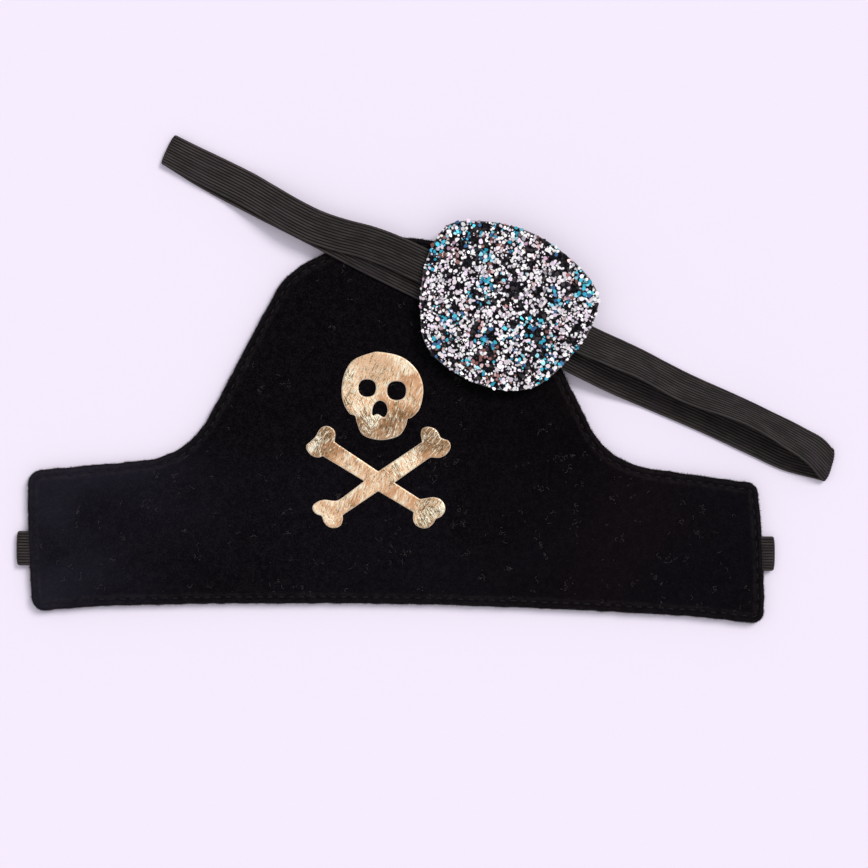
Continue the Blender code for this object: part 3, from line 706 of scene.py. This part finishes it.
def make_velvet(rim):
    """The velvet face, rolled over its edge down to the seam with the felt."""
    plan, faces = fill([rim], 1.15 * MM, rows_inside([rim], VELVET_ROWS))
    near, round_it = Edge([rim]).measure(plan)
    top = velvet_height(near, round_it, plan)
    seam = HAT_LOW + 0.35 * MM
    under = np.minimum(top - VELVET_SKIN * np.clip(near / (1.2 * MM), 0, 1) - 0.25 * MM,
                       seam + 3.0 * near)
    rings = ((-0.06 * MM, ROLL_LOW - 0.35 * MM), (0.0, ROLL_LOW - 0.75 * MM),
             (0.22 * MM, seam - 0.25 * MM), (0.5 * MM, seam - 0.2 * MM), (0.62 * MM, seam))
    panel = piece("velvet_panel", closed_sheet(plan, faces, top, under, rings), "velvet",
                  "hat")
    # Painted sheen: lighter lines painted into the velvet's colour on the roll's crest and past the
    # stitches.
    painted_edge_sheen = sum(weight * np.exp(-((near - place) / PAINTED_SHEEN_WIDTH) ** 2)
                 for place, weight in PAINTED_SHEEN_LINES)
    mark(panel, "painted_edge_sheen", painted_edge_sheen, 0.0)
    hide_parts("front_velvet")


def channel_offset(points):
    """How far points lie from the middle line of the back elastic."""
    return (points[:, 0] * -sin(BACK_ELASTIC_TILT)
            + (points[:, 1] - BACK_ELASTIC_Y) * cos(BACK_ELASTIC_TILT))


def make_felt(rim):
    """The felt back, pressed in where it lies on the elastic."""
    half = ELASTIC_WIDTH / 2
    low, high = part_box("back_felt")
    extra = rows_inside([rim], FELT_ROWS)
    for wall in (-half - CHANNEL_TOP, -half - CHANNEL_FOOT, half + CHANNEL_FOOT, half + CHANNEL_TOP):
        for x in np.arange(-high.x, high.x, 1.5 * MM):
            extra.append(Vector((x, BACK_ELASTIC_Y + wall + x * tan(BACK_ELASTIC_TILT))))
    plan, faces = fill([rim], 1.9 * MM, extra)
    roll = rolled(Edge([rim]).measure(plan)[0], 0.8 * MM)
    middle = high.z * 0.5
    top = middle + (high.z - middle) * roll
    pressed = np.abs(channel_offset(plan)) - half - CHANNEL_FOOT
    pressed = 1 - np.clip(pressed / (0.65 * MM), 0, 1)
    pressed = pressed ** 2 * (3 - 2 * pressed)
    under = np.minimum(middle * (1 - roll) + pressed * CHANNEL_DEPTH, top - 0.3 * MM)
    under += 0.05 * MM * np.maximum(waves(plan, 420, 420, 1.7), 0) * (1 - pressed)
    panel = piece("felt_panel", closed_sheet(plan, faces, top, under), "felt", "hat")
    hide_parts("back_felt")


def circle(centre, side, other, radius, corners):
    """Points round a centre, in the plane of two unit directions."""
    angles = [2 * pi * k / corners for k in range(corners)]
    return [centre + (side * cos(angle) + other * sin(angle)) * radius for angle in angles]


def capsules(paths, radius, sides=6):
    """One closed round-ended thread for each path of points."""
    points, faces = [], []
    for path in paths:
        rings = []
        last = len(path) - 1
        for i, point in enumerate(path):
            forward = (path[min(i + 1, last)] - path[max(i - 1, 0)]).normalized()
            side = forward.cross(Vector((0, 0, 1))).normalized()
            fat = radius * (0.45 if i in (0, last) else 1.0)
            rings.append(range(len(points), len(points) + sides))
            points += circle(point, side, side.cross(forward), fat, sides)
        for here, there in zip(rings, rings[1:]):
            for k in range(sides):
                j = (k + 1) % sides
                faces.append((here[k], there[k], there[j], here[j]))
        faces.append(tuple(rings[0]))
        faces.append(tuple(reversed(rings[-1])))
    return points, faces


def walk_loop(loop):
    """A function that gives the place and heading at a distance round the loop."""
    points = table(loop)
    sides = np.linalg.norm(np.roll(points, -1, axis=0) - points, axis=1)
    total = sides.sum()
    along = np.concatenate([[0], np.cumsum(sides)])
    closed = np.vstack([points, points[:1]])

    def spot(distance):
        return Vector([np.interp(distance % total, along, closed[:, k]) for k in (0, 1)])

    def at(distance):
        distance %= total
        place = spot(distance)
        return place, (spot(distance + 0.4 * MM) - place).normalized()

    return at, total


def make_stitches(rim):
    """The topstitching, one thread arc for each stitch, and its under thread on the felt."""
    at, total = walk_loop(offset_loop(rim, STITCH_INSET))
    count = round(total / STITCH_PITCH)
    pitch = total / count
    chance = random.Random(SEED)
    above, below = [], []
    for number in range(count):
        start = number * pitch + chance.uniform(-0.12, 0.12) * MM
        length = STITCH_LENGTH * chance.uniform(0.93, 1.05)
        lean = chance.uniform(-0.05, 0.05) * MM
        arc, back = [], []
        for step in range(7):
            share = step / 6
            place, heading = at(start + length * share)
            side = Vector((-heading.y, heading.x))
            place = place + side * (lean + 0.07 * MM * sin(pi * share))
            hump = sin(pi * share) ** 0.6
            arc.append(Vector((place.x, place.y,
                               HAT_TOP - FURROW_DEPTH - 0.25 * MM + 0.52 * MM * hump)))
            offset = abs(channel_offset(np.array([tuple(place)]))[0])
            floor = CHANNEL_DEPTH if offset < ELASTIC_WIDTH / 2 + 0.8 * MM else 0.0
            back.append(Vector((place.x, place.y, floor + 0.34 * MM - 0.12 * MM * hump)))
        above.append(arc)
        below.append(back)
    top = piece("topstitches", capsules(above, THREAD_RADIUS), "thread", "hat")
    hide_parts("topstitch_thread")
    piece("understitches", capsules(below, THREAD_RADIUS * 0.9), "thread", "hat")


def spikes(hairs):
    """Small closed pointed hairs: (root, tip, radius)."""
    points, faces = [], []
    for root, tip, radius in hairs:
        forward = (tip - root).normalized()
        side = forward.orthogonal().normalized()
        first = len(points)
        points += circle(root, side, forward.cross(side), radius, 3) + [tip]
        faces += [(first, first + 1, first + 3), (first + 1, first + 2, first + 3),
                  (first + 2, first, first + 3), (first + 2, first + 1, first)]
    return points, faces


def make_pile(rim):
    """The pile that stands out from the velvet's rolled edge."""
    at, total = walk_loop(rim)
    chance = random.Random(SEED + 1)
    hairs = []
    for _ in range(int(total / PILE_SPACING)):
        place, heading = at(chance.uniform(0, total))
        out = Vector((heading.y, -heading.x, 0))
        height = chance.uniform(ROLL_LOW - 0.9 * MM, HAT_TOP - 0.5 * MM)
        roll = max(0.0, (height - ROLL_LOW) / ROLL_HEIGHT)
        depth = ROLL_WIDTH * (1 - sqrt(max(0.0, 1 - roll ** 2)))
        root = Vector((place.x, place.y, height)) - out * (depth + PILE_ROOT)
        drift = Vector((heading.x, heading.y, 0)) * chance.uniform(-0.55, 0.55)
        way = (out + Vector((0, 0, 0.9 * roll)) + drift).normalized()
        length = chance.uniform(*PILE_LENGTH)
        hairs.append((root, root + way * (length + PILE_ROOT), chance.uniform(*PILE_RADIUS)))
    piece("pile_fringe", spikes(hairs), "pile", "hat", smooth=False)


def make_lint(rim):
    """Stray fibres caught on the velvet, mostly in small tangles."""
    chance = random.Random(SEED + 2)
    low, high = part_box("front_velvet")
    edge = Edge([rim])
    places = []
    while len(places) < LINT_COUNT:
        # Most tangles lie on the band, and most of those on its right.
        x = low.x + (high.x - low.x) * chance.random() ** 0.8
        y = low.y + (high.y - low.y) * chance.random() ** 1.5
        for _ in range(chance.choice((1, 1, 2, 3, 5))):
            spot = np.array([(x + chance.gauss(0, LINT_TANGLE), y + chance.gauss(0, LINT_TANGLE))])
            if inside(spot, [rim])[0] and edge.measure(spot)[0][0] > LINT_INSET:
                places.append(Vector(spot[0]))
    paths = []
    for place in places:
        heading = chance.uniform(0, 2 * pi)
        curl = chance.uniform(-5.5, 5.5)
        length = chance.uniform(*LINT_LENGTH)
        path = []
        spot = np.array([tuple(place)])
        base = velvet_height(*edge.measure(spot), spot)[0]
        for step in range(6):
            angle = heading + curl * step / 5
            height = base + 0.05 * MM + 0.06 * MM * sin(pi * step / 5)
            path.append(Vector((place.x, place.y, height)))
            place = place + Vector((cos(angle), sin(angle))) * length / 5
        paths.append(path)
    piece("lint_fibres", capsules(paths, 0.03 * MM, 4), "lint", "hat")


def make_foil(node, name, rim):
    """A foil transfer that follows the velvet, finely creased, with a thin painted highlight along
    its rim.
    """
    loops = [divide(loop, 0.45 * MM) for loop in flat_loops(node)]
    plan, faces = fill(loops, 0.62 * MM, rows_inside(loops, [RIM_WIDTH]))
    ground = velvet_height(*Edge([rim]).measure(plan), plan)
    near = Edge(loops).measure(plan)[0]
    crease = waves(plan, 1500, 260, 5.0)
    dents = waves(plan, 900, 900, 2.0)
    top = ground + FOIL_LIFT + FOIL_SKIN + 0.03 * MM * crease + 0.02 * MM * dents
    top -= 0.04 * MM * np.exp(-near / (0.25 * MM))
    foil = piece(name, closed_sheet(plan, faces, top, ground + FOIL_LIFT), "foil", "hat")
    # The rim share places the painted highlight along the foil's edge.
    mark(foil, "rim", np.clip(1 - near / RIM_WIDTH, 0, 1), 1.0)
    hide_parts(node)


# Ribbed elastic.

def ribbed_section(width):
    """The elastic's closed section: (across, through, share across), ribbed on both faces."""
    upper = []
    total = RIBS * RIB_POINTS
    for step in range(total + 1):
        share = step / total
        rib = (share * RIBS) % 1.0 if step < total else 1.0
        crest = sqrt(max(0.0, 1 - (2 * rib - 1) ** 2 * 0.92))
        edge = min(1.0, min(share, 1 - share) * RIBS * 2 + 0.25)
        through_it = ELASTIC_THICKNESS / 2 * (0.5 + 0.5 * crest) * edge
        upper.append((width * (share - 0.5), through_it, share))
    return upper + [(across, -up, share) for across, up, share in reversed(upper)]


def ribbed_strip(name, path, body, replaced, folds):
    """A ribbed strip along path: (point, width direction, width) for each section.

    folds gives, for each folded end, its place, the way it points, how far back its corners are
    drawn, so that the end looks rounded from above, and how far its near edge is pushed out."""
    points, strip, faces = [], [], []
    travelled = 0.0
    last = len(path) - 1
    per_ring = 2 * (RIBS * RIB_POINTS + 1)
    for i, (point, across, width) in enumerate(path):
        if i:
            travelled += (point - path[i - 1][0]).length
        forward = (path[min(i + 1, last)][0] - path[max(i - 1, 0)][0]).normalized()
        normal = forward.cross(across).normalized()
        draw, push = Vector((0, 0, 0)), Vector((0, 0, 0))
        for place, outward, depth, skew in folds:
            near_end = 1 - min(1.0, max(0.0, (place - point).dot(outward)) / FOLD_REACH)
            draw -= outward * depth * near_end ** 2
            push += outward * skew * near_end ** 2
        for v, h, share in ribbed_section(width):
            corner = abs(2 * share - 1) ** 3.5
            points.append(point + across * v + normal * h + draw * corner + push * (1 - share))
            strip.append((travelled / MM, share, 0.0))
    for i in range(last):
        here, there = i * per_ring, (i + 1) * per_ring
        for k in range(per_ring):
            j = (k + 1) % per_ring
            faces.append((here + k, here + j, there + j, there + k))
    faces.append(tuple(reversed(range(per_ring))))
    faces.append(tuple(range(last * per_ring, (last + 1) * per_ring)))
    obj = piece(name, (points, faces), "elastic", body)
    shaped = bmesh.new()
    shaped.from_mesh(obj.data)
    bmesh.ops.recalc_face_normals(shaped, faces=shaped.faces)
    shaped.to_mesh(obj.data)
    shaped.free()
    values = obj.data.attributes.new("strip", "FLOAT_VECTOR", "POINT")
    values.data.foreach_set("vector", np.array(strip, np.float32).ravel())
    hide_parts(replaced)


def fold(start, end, outward):
    """The points of a half turn from start to end, bulging outward, without its two ends."""
    middle = (start + end) / 2
    arm = start - middle
    made = []
    for step in range(1, FOLD_STEPS):
        angle = pi * step / FOLD_STEPS
        made.append(middle + arm * cos(angle) + outward * arm.length * sin(angle))
    return made


def steps_between(start, end, step):
    count = max(2, round(abs(end - start) / step))
    return [start + (end - start) * k / count for k in range(count + 1)]


def make_back_elastic():
    """The elastic behind the hat, folded out past both sides and sewn into the side seams."""
    low_corner, high_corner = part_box("back_elastic")
    low = low_corner.z + ELASTIC_THICKNESS / 2
    high = high_corner.z - ELASTIC_THICKNESS / 2
    fold_x = high_corner.x - (high - low) / 2 - ELASTIC_THICKNESS / 2
    end_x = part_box("front_velvet")[1].x - 8 * MM

    def at(x, z):
        return Vector((x, BACK_ELASTIC_Y + x * tan(BACK_ELASTIC_TILT), z))

    outward = Vector((cos(BACK_ELASTIC_TILT), sin(BACK_ELASTIC_TILT), 0))
    across = Vector((-outward.y, outward.x, 0))
    points = [at(x, high) for x in steps_between(-end_x, -fold_x, 1.2 * MM)]
    points += fold(at(-fold_x, high), at(-fold_x, low), -outward)
    points += [at(x, low) for x in steps_between(-fold_x, fold_x, 2.0 * MM)]
    points += fold(at(fold_x, low), at(fold_x, high), outward)
    points += [at(x, high) for x in steps_between(fold_x, end_x, 1.2 * MM)]
    path = [(point, across, ELASTIC_WIDTH) for point in points]
    folds = [(at(side * fold_x, high), side * outward, 0.5 * MM, 0.0) for side in (-1, 1)]
    ribbed_strip("back_elastic_ribbed", path, "hat", "back_elastic", folds)


def strap_rest(along):
    """The middle of the bottom run: on the hat, and down to the floor past its edges."""
    left = ease(along, -HAT_REACH_LEFT - DROOP_LENGTH, -HAT_REACH_LEFT)
    right = ease(along, HAT_REACH_RIGHT + DROOP_LENGTH, HAT_REACH_RIGHT)
    return STRAP_ON_FLOOR + (STRAP_ON_HAT - STRAP_ON_FLOOR) * min(left, right)


def make_strap():
    """The patch's strap: one strip from inside the patch, round both folds and back into it."""
    spacing = ELASTIC_THICKNESS + GAP
    edge = PATCH_HALF_AT_STRAP
    inner = edge - STRAP_TUCK
    turn = PATCH_FRAME.to_3x3()

    def at(along, across, height, lean=0.0, width=ELASTIC_WIDTH):
        point = PATCH_FRAME @ Vector((along, across - STRAP_BELOW_CENTRE, height))
        return point, turn @ Vector((0.0, cos(lean), -sin(lean))), width

    def raised(along, resting):
        """Up from where the strap rests to where it is sewn into the patch."""
        share = ease(abs(along), edge + 20 * MM, edge + 2 * MM)
        return resting + (STRAP_IN_PATCH - resting) * share

    def wander(knots, along):
        return hermite(sorted(knots), along / MM) * MM

    def pinched(along):
        return ELASTIC_WIDTH - LEFT_PINCH * ease(along, STRAP_LEFT_FOLD + 20 * MM, STRAP_LEFT_FOLD)

    left, right = [], []
    for u in steps_between(-inner, STRAP_LEFT_FOLD, 0.9 * MM):
        ripple = max(0.0, 0.12 * MM * sin(u / MM * 0.31))
        height = raised(u, strap_rest(u) + spacing) + ripple
        left.append(at(u, wander(TOP_LEFT_RUN, u), height, 0.0, pinched(u)))
    bottom = [at(u, wander(BOTTOM_RUN, u), strap_rest(u), 0.0, pinched(u))
              for u in steps_between(STRAP_LEFT_FOLD, STRAP_RIGHT_FOLD, 1.1 * MM)]
    for u in steps_between(STRAP_RIGHT_FOLD, inner, 0.9 * MM):
        lean = radians(max(0.0, hermite(TOP_RIGHT_RUN, u / MM, 2)))
        width = hermite(TOP_RIGHT_RUN, u / MM, 3) * MM
        # The low edge comes down to the floor past the bottom run, and the fold holds it up.
        low = strap_rest(u) + spacing * ease(u, STRAP_RIGHT_FOLD - 12 * MM, STRAP_RIGHT_FOLD)
        height = raised(u, low + sin(lean) * width / 2 + 0.25 * MM)
        right.append(at(u, wander(TOP_RIGHT_RUN, u), height, lean, width))
    axis = turn @ Vector((1.0, 0.0, 0.0))
    level = turn @ Vector((0.0, 1.0, 0.0))
    path = left + [(p, level, left[-1][2]) for p in fold(left[-1][0], bottom[0][0], -axis)]
    path += bottom + [(p, level, ELASTIC_WIDTH) for p in fold(bottom[-1][0], right[0][0], axis)]
    # Measured from the strip's last point, the left fold's drawing back acts on both runs left of it.
    folds = ((right[-1][0], -axis, 0.5 * MM, 0.0), (right[0][0], axis, 1.1 * MM, RIGHT_FOLD_SKEW))
    ribbed_strip("strap_ribbed", path + right, "eye_patch", "patch_strap", folds)


# The eye patch.

def patch_dome(near):
    """How far the padding lifts the glitter face, from the distance to the patch's edge."""
    share = np.clip(near / (11 * MM), 0, 1)
    return 0.75 * MM * (1 - (1 - share) ** 2)


def glitter_height(near):
    """The top of the glitter cloth, from the distance to its edge."""
    low, high = (corner.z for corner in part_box("patch_glitter_face"))
    return low + (high - low) * (0.45 + 0.55 * rolled(near, PATCH_ROLL)) + patch_dome(near)


def make_patch():
    """Backing, padding and glitter face, laid up with a soft rounded edge."""
    rim = refine(flat_loops("patch_glitter_face")[0], 0.8 * MM)
    plan, faces = fill([rim], 1.3 * MM, rows_inside([rim], PATCH_ROWS))
    near = Edge([rim]).measure(plan)[0]

    low, high = (corner.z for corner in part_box("patch_backing"))
    middle = (low + high) / 2
    half = (high - low) / 2 * (0.35 + 0.65 * rolled(near, PATCH_ROLL))
    backing = piece("patch_backing_felt", closed_sheet(plan, faces, middle + half, middle - half),
                    "felt", "eye_patch")
    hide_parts("patch_backing")

    top = glitter_height(near)
    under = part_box("patch_glitter_face")[0].z + 0.1 * MM + patch_dome(near)
    cloth = closed_sheet(plan, faces, top, np.minimum(under, top - 0.25 * MM))
    face = piece("patch_glitter_cloth", cloth, "glitter_ground", "eye_patch")
    mark(face, "rim", np.clip(1 - near / (0.4 * MM), 0, 1), 1.0)
    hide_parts("patch_glitter_face")
    make_flakes(rim)
    make_padding()


def make_padding():
    """The foam between the layers, cut away for the strap's ends as the CAD solid is."""
    loops = [refine(flat_loops("patch_padding")[0], 0.9 * MM)]
    plan, faces = fill(loops, 1.5 * MM)
    low, high = (corner.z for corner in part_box("patch_padding"))
    bulge = 0.5 * (low + high)
    roll = rolled(Edge(loops).measure(plan)[0], 1.0 * MM)
    to_rim = Edge(flat_loops("patch_glitter_face")).measure(plan)[0]
    top = bulge + (high - bulge) * roll + patch_dome(to_rim) * 0.95
    under = bulge - (bulge - low) * roll
    foam = piece("patch_foam", closed_sheet(plan, faces, top, under), "foam", "eye_patch")
    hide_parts("patch_padding")


# The flakes, laid in this order: how many are tried, least and greatest radius in mm, the room
# each leaves to its neighbours as a share of their radii, and the share that is dark.
FLAKE_SIZES = (
    (2400, 0.52, 0.86, 0.60, 0.05),
    (3600, 0.32, 0.50, 0.60, 0.26),
    (5200, 0.15, 0.28, 0.60, 0.50),
)
FLAKE_CELL = 1.6 * MM
LANE_SHARE = 0.60  # how strongly the bright flakes keep out of the dark lanes
# Painted light as well as colour: the whites stand partly for flakes that glint, and the darks partly
# for flakes that mirror dark surroundings.
WHITES = ((1.0, 0.98, 1.0), (1.0, 0.97, 0.98), (1.0, 0.88, 0.94), (0.95, 0.80, 0.96),
          (0.98, 0.90, 0.93), (0.60, 0.56, 0.64))
BLUES = ((0.03, 0.33, 0.50), (0.06, 0.52, 0.68), (0.30, 0.68, 0.80), (0.05, 0.14, 0.30))
COPPERS = ((0.33, 0.15, 0.14), (0.70, 0.47, 0.48), (0.20, 0.09, 0.08), (0.60, 0.38, 0.52))
DARKS = ((0.003, 0.003, 0.005), (0.005, 0.0045, 0.007), (0.042, 0.033, 0.038),
         (0.022, 0.019, 0.024))


def flake_colour(chance, place, dark_share):
    """Mostly white and black, with teal and copper flakes that gather in places. The whites, the
    blacks and each flake's random shade are partly the flakes' own colours and partly painted glints
    and painted dark reflections.
    """
    lane = max(0.0, wave(place, 330, 330, 3.3)) * LANE_SHARE * 2
    if chance.random() < dark_share + lane:
        return chance.choice(DARKS)
    if chance.random() < 0.08 + 0.95 * wave(place, 170, 170, 0.5):
        colour = chance.choice(BLUES)
    elif chance.random() < 0.10 + 0.65 * wave(place, 120, 120, 7.5):
        colour = chance.choice(COPPERS)
    else:
        colour = chance.choice(WHITES)
    shade = 1.1 - 0.42 * chance.random() ** 2
    return tuple(min(1.0, c * shade) for c in colour)


def scatter_flakes(chance, rim):
    """Flakes inside the rim that keep clear of each other: (x, y, radius, dark share, depth)."""
    low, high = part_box("patch_glitter_face")
    grid, laid = {}, []
    edge = Edge([rim])
    for tries, small, large, room, dark_share in FLAKE_SIZES:
        spots = np.array([(chance.uniform(low.x, high.x), chance.uniform(low.y, high.y))
                          for _ in range(tries)])
        spots = spots[inside(spots, [rim])]
        for (x, y), depth in zip(spots, edge.measure(spots)[0]):
            radius = chance.uniform(small, large) * MM
            if depth < radius * 0.15:
                continue
            column, row = int(x // FLAKE_CELL), int(y // FLAKE_CELL)
            near = (other for i in (-1, 0, 1) for j in (-1, 0, 1)
                    for other in grid.get((column + i, row + j), ()))
            if any(hypot(x - a, y - b) < (radius + r) * room for a, b, r in near):
                continue
            grid.setdefault((column, row), []).append((x, y, radius))
            laid.append((x, y, radius, dark_share, depth))
    return laid


def make_flakes(rim):
    """Six-cornered chips, each tipped its own way, glued on the glitter cloth."""
    chance = random.Random(SEED + 3)
    laid = scatter_flakes(chance, rim)
    points, faces, colours = [], [], []
    heights = glitter_height(np.array([item[4] for item in laid]))
    for (x, y, size, dark_share, _), height in zip(laid, heights):
        heading = chance.uniform(0, 2 * pi)
        axis = Vector((cos(heading), sin(heading), 0))
        tip = Matrix.Rotation(radians(chance.gauss(0, 17)), 3, axis)
        spin = chance.uniform(0, pi)
        lift = chance.uniform(0.02, 0.25) * MM
        first = len(points)
        colour = (*flake_colour(chance, (x, y), dark_share), 1.0)
        reach = [size * chance.uniform(*CHIP_REACH) for _ in range(6)]
        for level in (0.0, FLAKE_THICKNESS):
            for k in range(6):
                angle = spin + pi * k / 3
                corner = Vector((cos(angle) * reach[k], sin(angle) * reach[k], level))
                points.append(Vector((x, y, height + lift)) + tip @ corner)
        colours += [colour] * 12
        faces.append(tuple(range(first + 5, first - 1, -1)))
        faces.append(tuple(range(first + 6, first + 12)))
        for k in range(6):
            j = (k + 1) % 6
            faces.append((first + k, first + j, first + 6 + j, first + 6 + k))
    flakes = piece("glitter_flakes", (points, faces), "flake", "eye_patch",
                   smooth=False)
    paint = flakes.data.attributes.new("flake", "FLOAT_COLOR", "POINT")
    paint.data.foreach_set("color", np.array(colours, np.float32).ravel())


def make_strap_sewing():
    """The zigzag that shows on the patch's back where each end of the strap is sewn in."""
    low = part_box("patch_backing")[0].z
    chance = random.Random(SEED + 4)
    paths = []
    for sign, across in ((-1, -0.1 * MM), (1, 0.6 * MM)):
        middle = sign * (PATCH_HALF_AT_STRAP - 5.0 * MM)
        for row in (-1, 1):
            for step in range(14):
                y = across - STRAP_BELOW_CENTRE + (step - 6.5) * 0.72 * MM
                start = Vector((middle + row * 0.9 * MM - 0.55 * MM, y, low - 0.02 * MM))
                end = Vector((middle + row * 0.9 * MM + 0.55 * MM, y + 0.36 * MM, low - 0.02 * MM))
                path = []
                for k in range(5):
                    point = start.lerp(end, k / 4)
                    point.z -= 0.10 * MM * sin(pi * k / 4) - 0.05 * MM
                    point.x += chance.uniform(-0.03, 0.03) * MM
                    path.append(PATCH_FRAME @ point)
                paths.append(path)
    piece("strap_sewing", capsules(paths, 0.13 * MM), "thread", "eye_patch")


# Stage.

def make_camera():
    data = bpy.data.cameras.new("camera")
    data.lens = CAMERA_LENS
    data.sensor_width = SENSOR
    data.clip_start, data.clip_end = 0.05, 20.0
    camera = add_object("camera", data)
    distance = FRAME_WIDTH * CAMERA_LENS / SENSOR
    camera.location = CAMERA_OVER + Vector((0, 0, HAT_TOP + distance))
    camera.rotation_euler = (0, 0, CAMERA_ROLL)
    bpy.context.scene.camera = camera


def make_stage():
    bpy.ops.mesh.primitive_plane_add(size=4.0, location=(0, 0, -0.05 * MM))
    floor = bpy.context.object
    floor.name = "paper_floor"
    floor.data.materials.append(paper_look())

    sun = bpy.data.lights.new("key_light", "SUN")
    sun.energy = 1.76
    sun.angle = radians(24)
    sun.color = (1.0, 0.985, 0.965)
    key = add_object("key_light", sun)
    key.rotation_euler = SUN_WAY.to_track_quat("Z", "Y").to_euler()

    world = bpy.data.worlds.new("studio")
    bpy.context.scene.world = world
    world.use_nodes = True
    tree = world.node_tree
    where = tree.nodes.new("ShaderNodeTexCoord").outputs["Generated"]
    split = tree.nodes.new("ShaderNodeSeparateXYZ")
    tree.links.new(where, split.inputs["Vector"])
    ramp = tree.nodes.new("ShaderNodeValToRGB")
    for element, place, colour in zip(ramp.color_ramp.elements, (0.0, 1.0), SKY):
        element.position = place
        element.color = colour
    tree.links.new(split.outputs["Z"], ramp.inputs["Fac"])
    background = tree.nodes["Background"]
    tree.links.new(ramp.outputs["Color"], background.inputs["Color"])
    background.inputs["Strength"].default_value = 0.88
    bpy.context.scene.view_settings.view_transform = "Standard"


def repaint(node, look):
    """A CAD node whose shape is right keeps it and gets the finished material."""
    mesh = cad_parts[node].data
    mesh.materials.clear()
    mesh.materials.append(LOOKS[look])


def main():
    rim = uneven(refine(flat_loops("front_velvet")[0], 0.9 * MM), EDGE_WANDER)
    felt_rim = refine(flat_loops("back_felt")[0], 0.9 * MM)
    make_velvet(rim)
    make_felt(felt_rim)
    make_stitches(rim)
    make_pile(rim)
    make_lint(rim)
    make_foil("skull_foil", "skull_transfer", rim)
    make_foil("crossbones_foil", "crossbones_transfer", rim)
    make_back_elastic()
    make_strap()
    make_patch()
    make_strap_sewing()
    repaint("interlining", "interlining")
    repaint("strap_stitch_left", "thread")
    repaint("strap_stitch_right", "thread")


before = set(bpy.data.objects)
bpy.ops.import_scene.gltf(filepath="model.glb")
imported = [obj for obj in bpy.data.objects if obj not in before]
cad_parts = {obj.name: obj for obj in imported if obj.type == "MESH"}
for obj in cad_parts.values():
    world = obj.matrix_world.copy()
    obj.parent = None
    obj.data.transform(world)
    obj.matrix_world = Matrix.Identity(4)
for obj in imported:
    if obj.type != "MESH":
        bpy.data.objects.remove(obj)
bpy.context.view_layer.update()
HAT_LOW, HAT_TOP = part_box("interlining")[0].z - GAP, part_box("front_velvet")[1].z
ROLL_LOW = HAT_TOP - ROLL_HEIGHT
STRAP_ON_FLOOR = GAP + ELASTIC_THICKNESS / 2
STRAP_ON_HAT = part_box("topstitch_thread")[1].z + GAP + ELASTIC_THICKNESS / 2
STRAP_IN_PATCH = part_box("patch_backing")[1].z + GAP + ELASTIC_THICKNESS / 2
PATCH_FRAME = Matrix.Translation(PATCH_CENTRE) @ Matrix.Rotation(PATCH_TURN, 4, "Z")
make_camera()
make_stage()
LOOKS = {
    "velvet": velvet_look(), "felt": felt_look(), "elastic": elastic_look(), "foil": foil_look(),
    "thread": thread_look(), "lint": lint_look(), "pile": pile_look(),
    "glitter_ground": glitter_base_look(), "flake": flake_look(), "foam": foam_look(),
    "interlining": interlining_look(),
}
main()
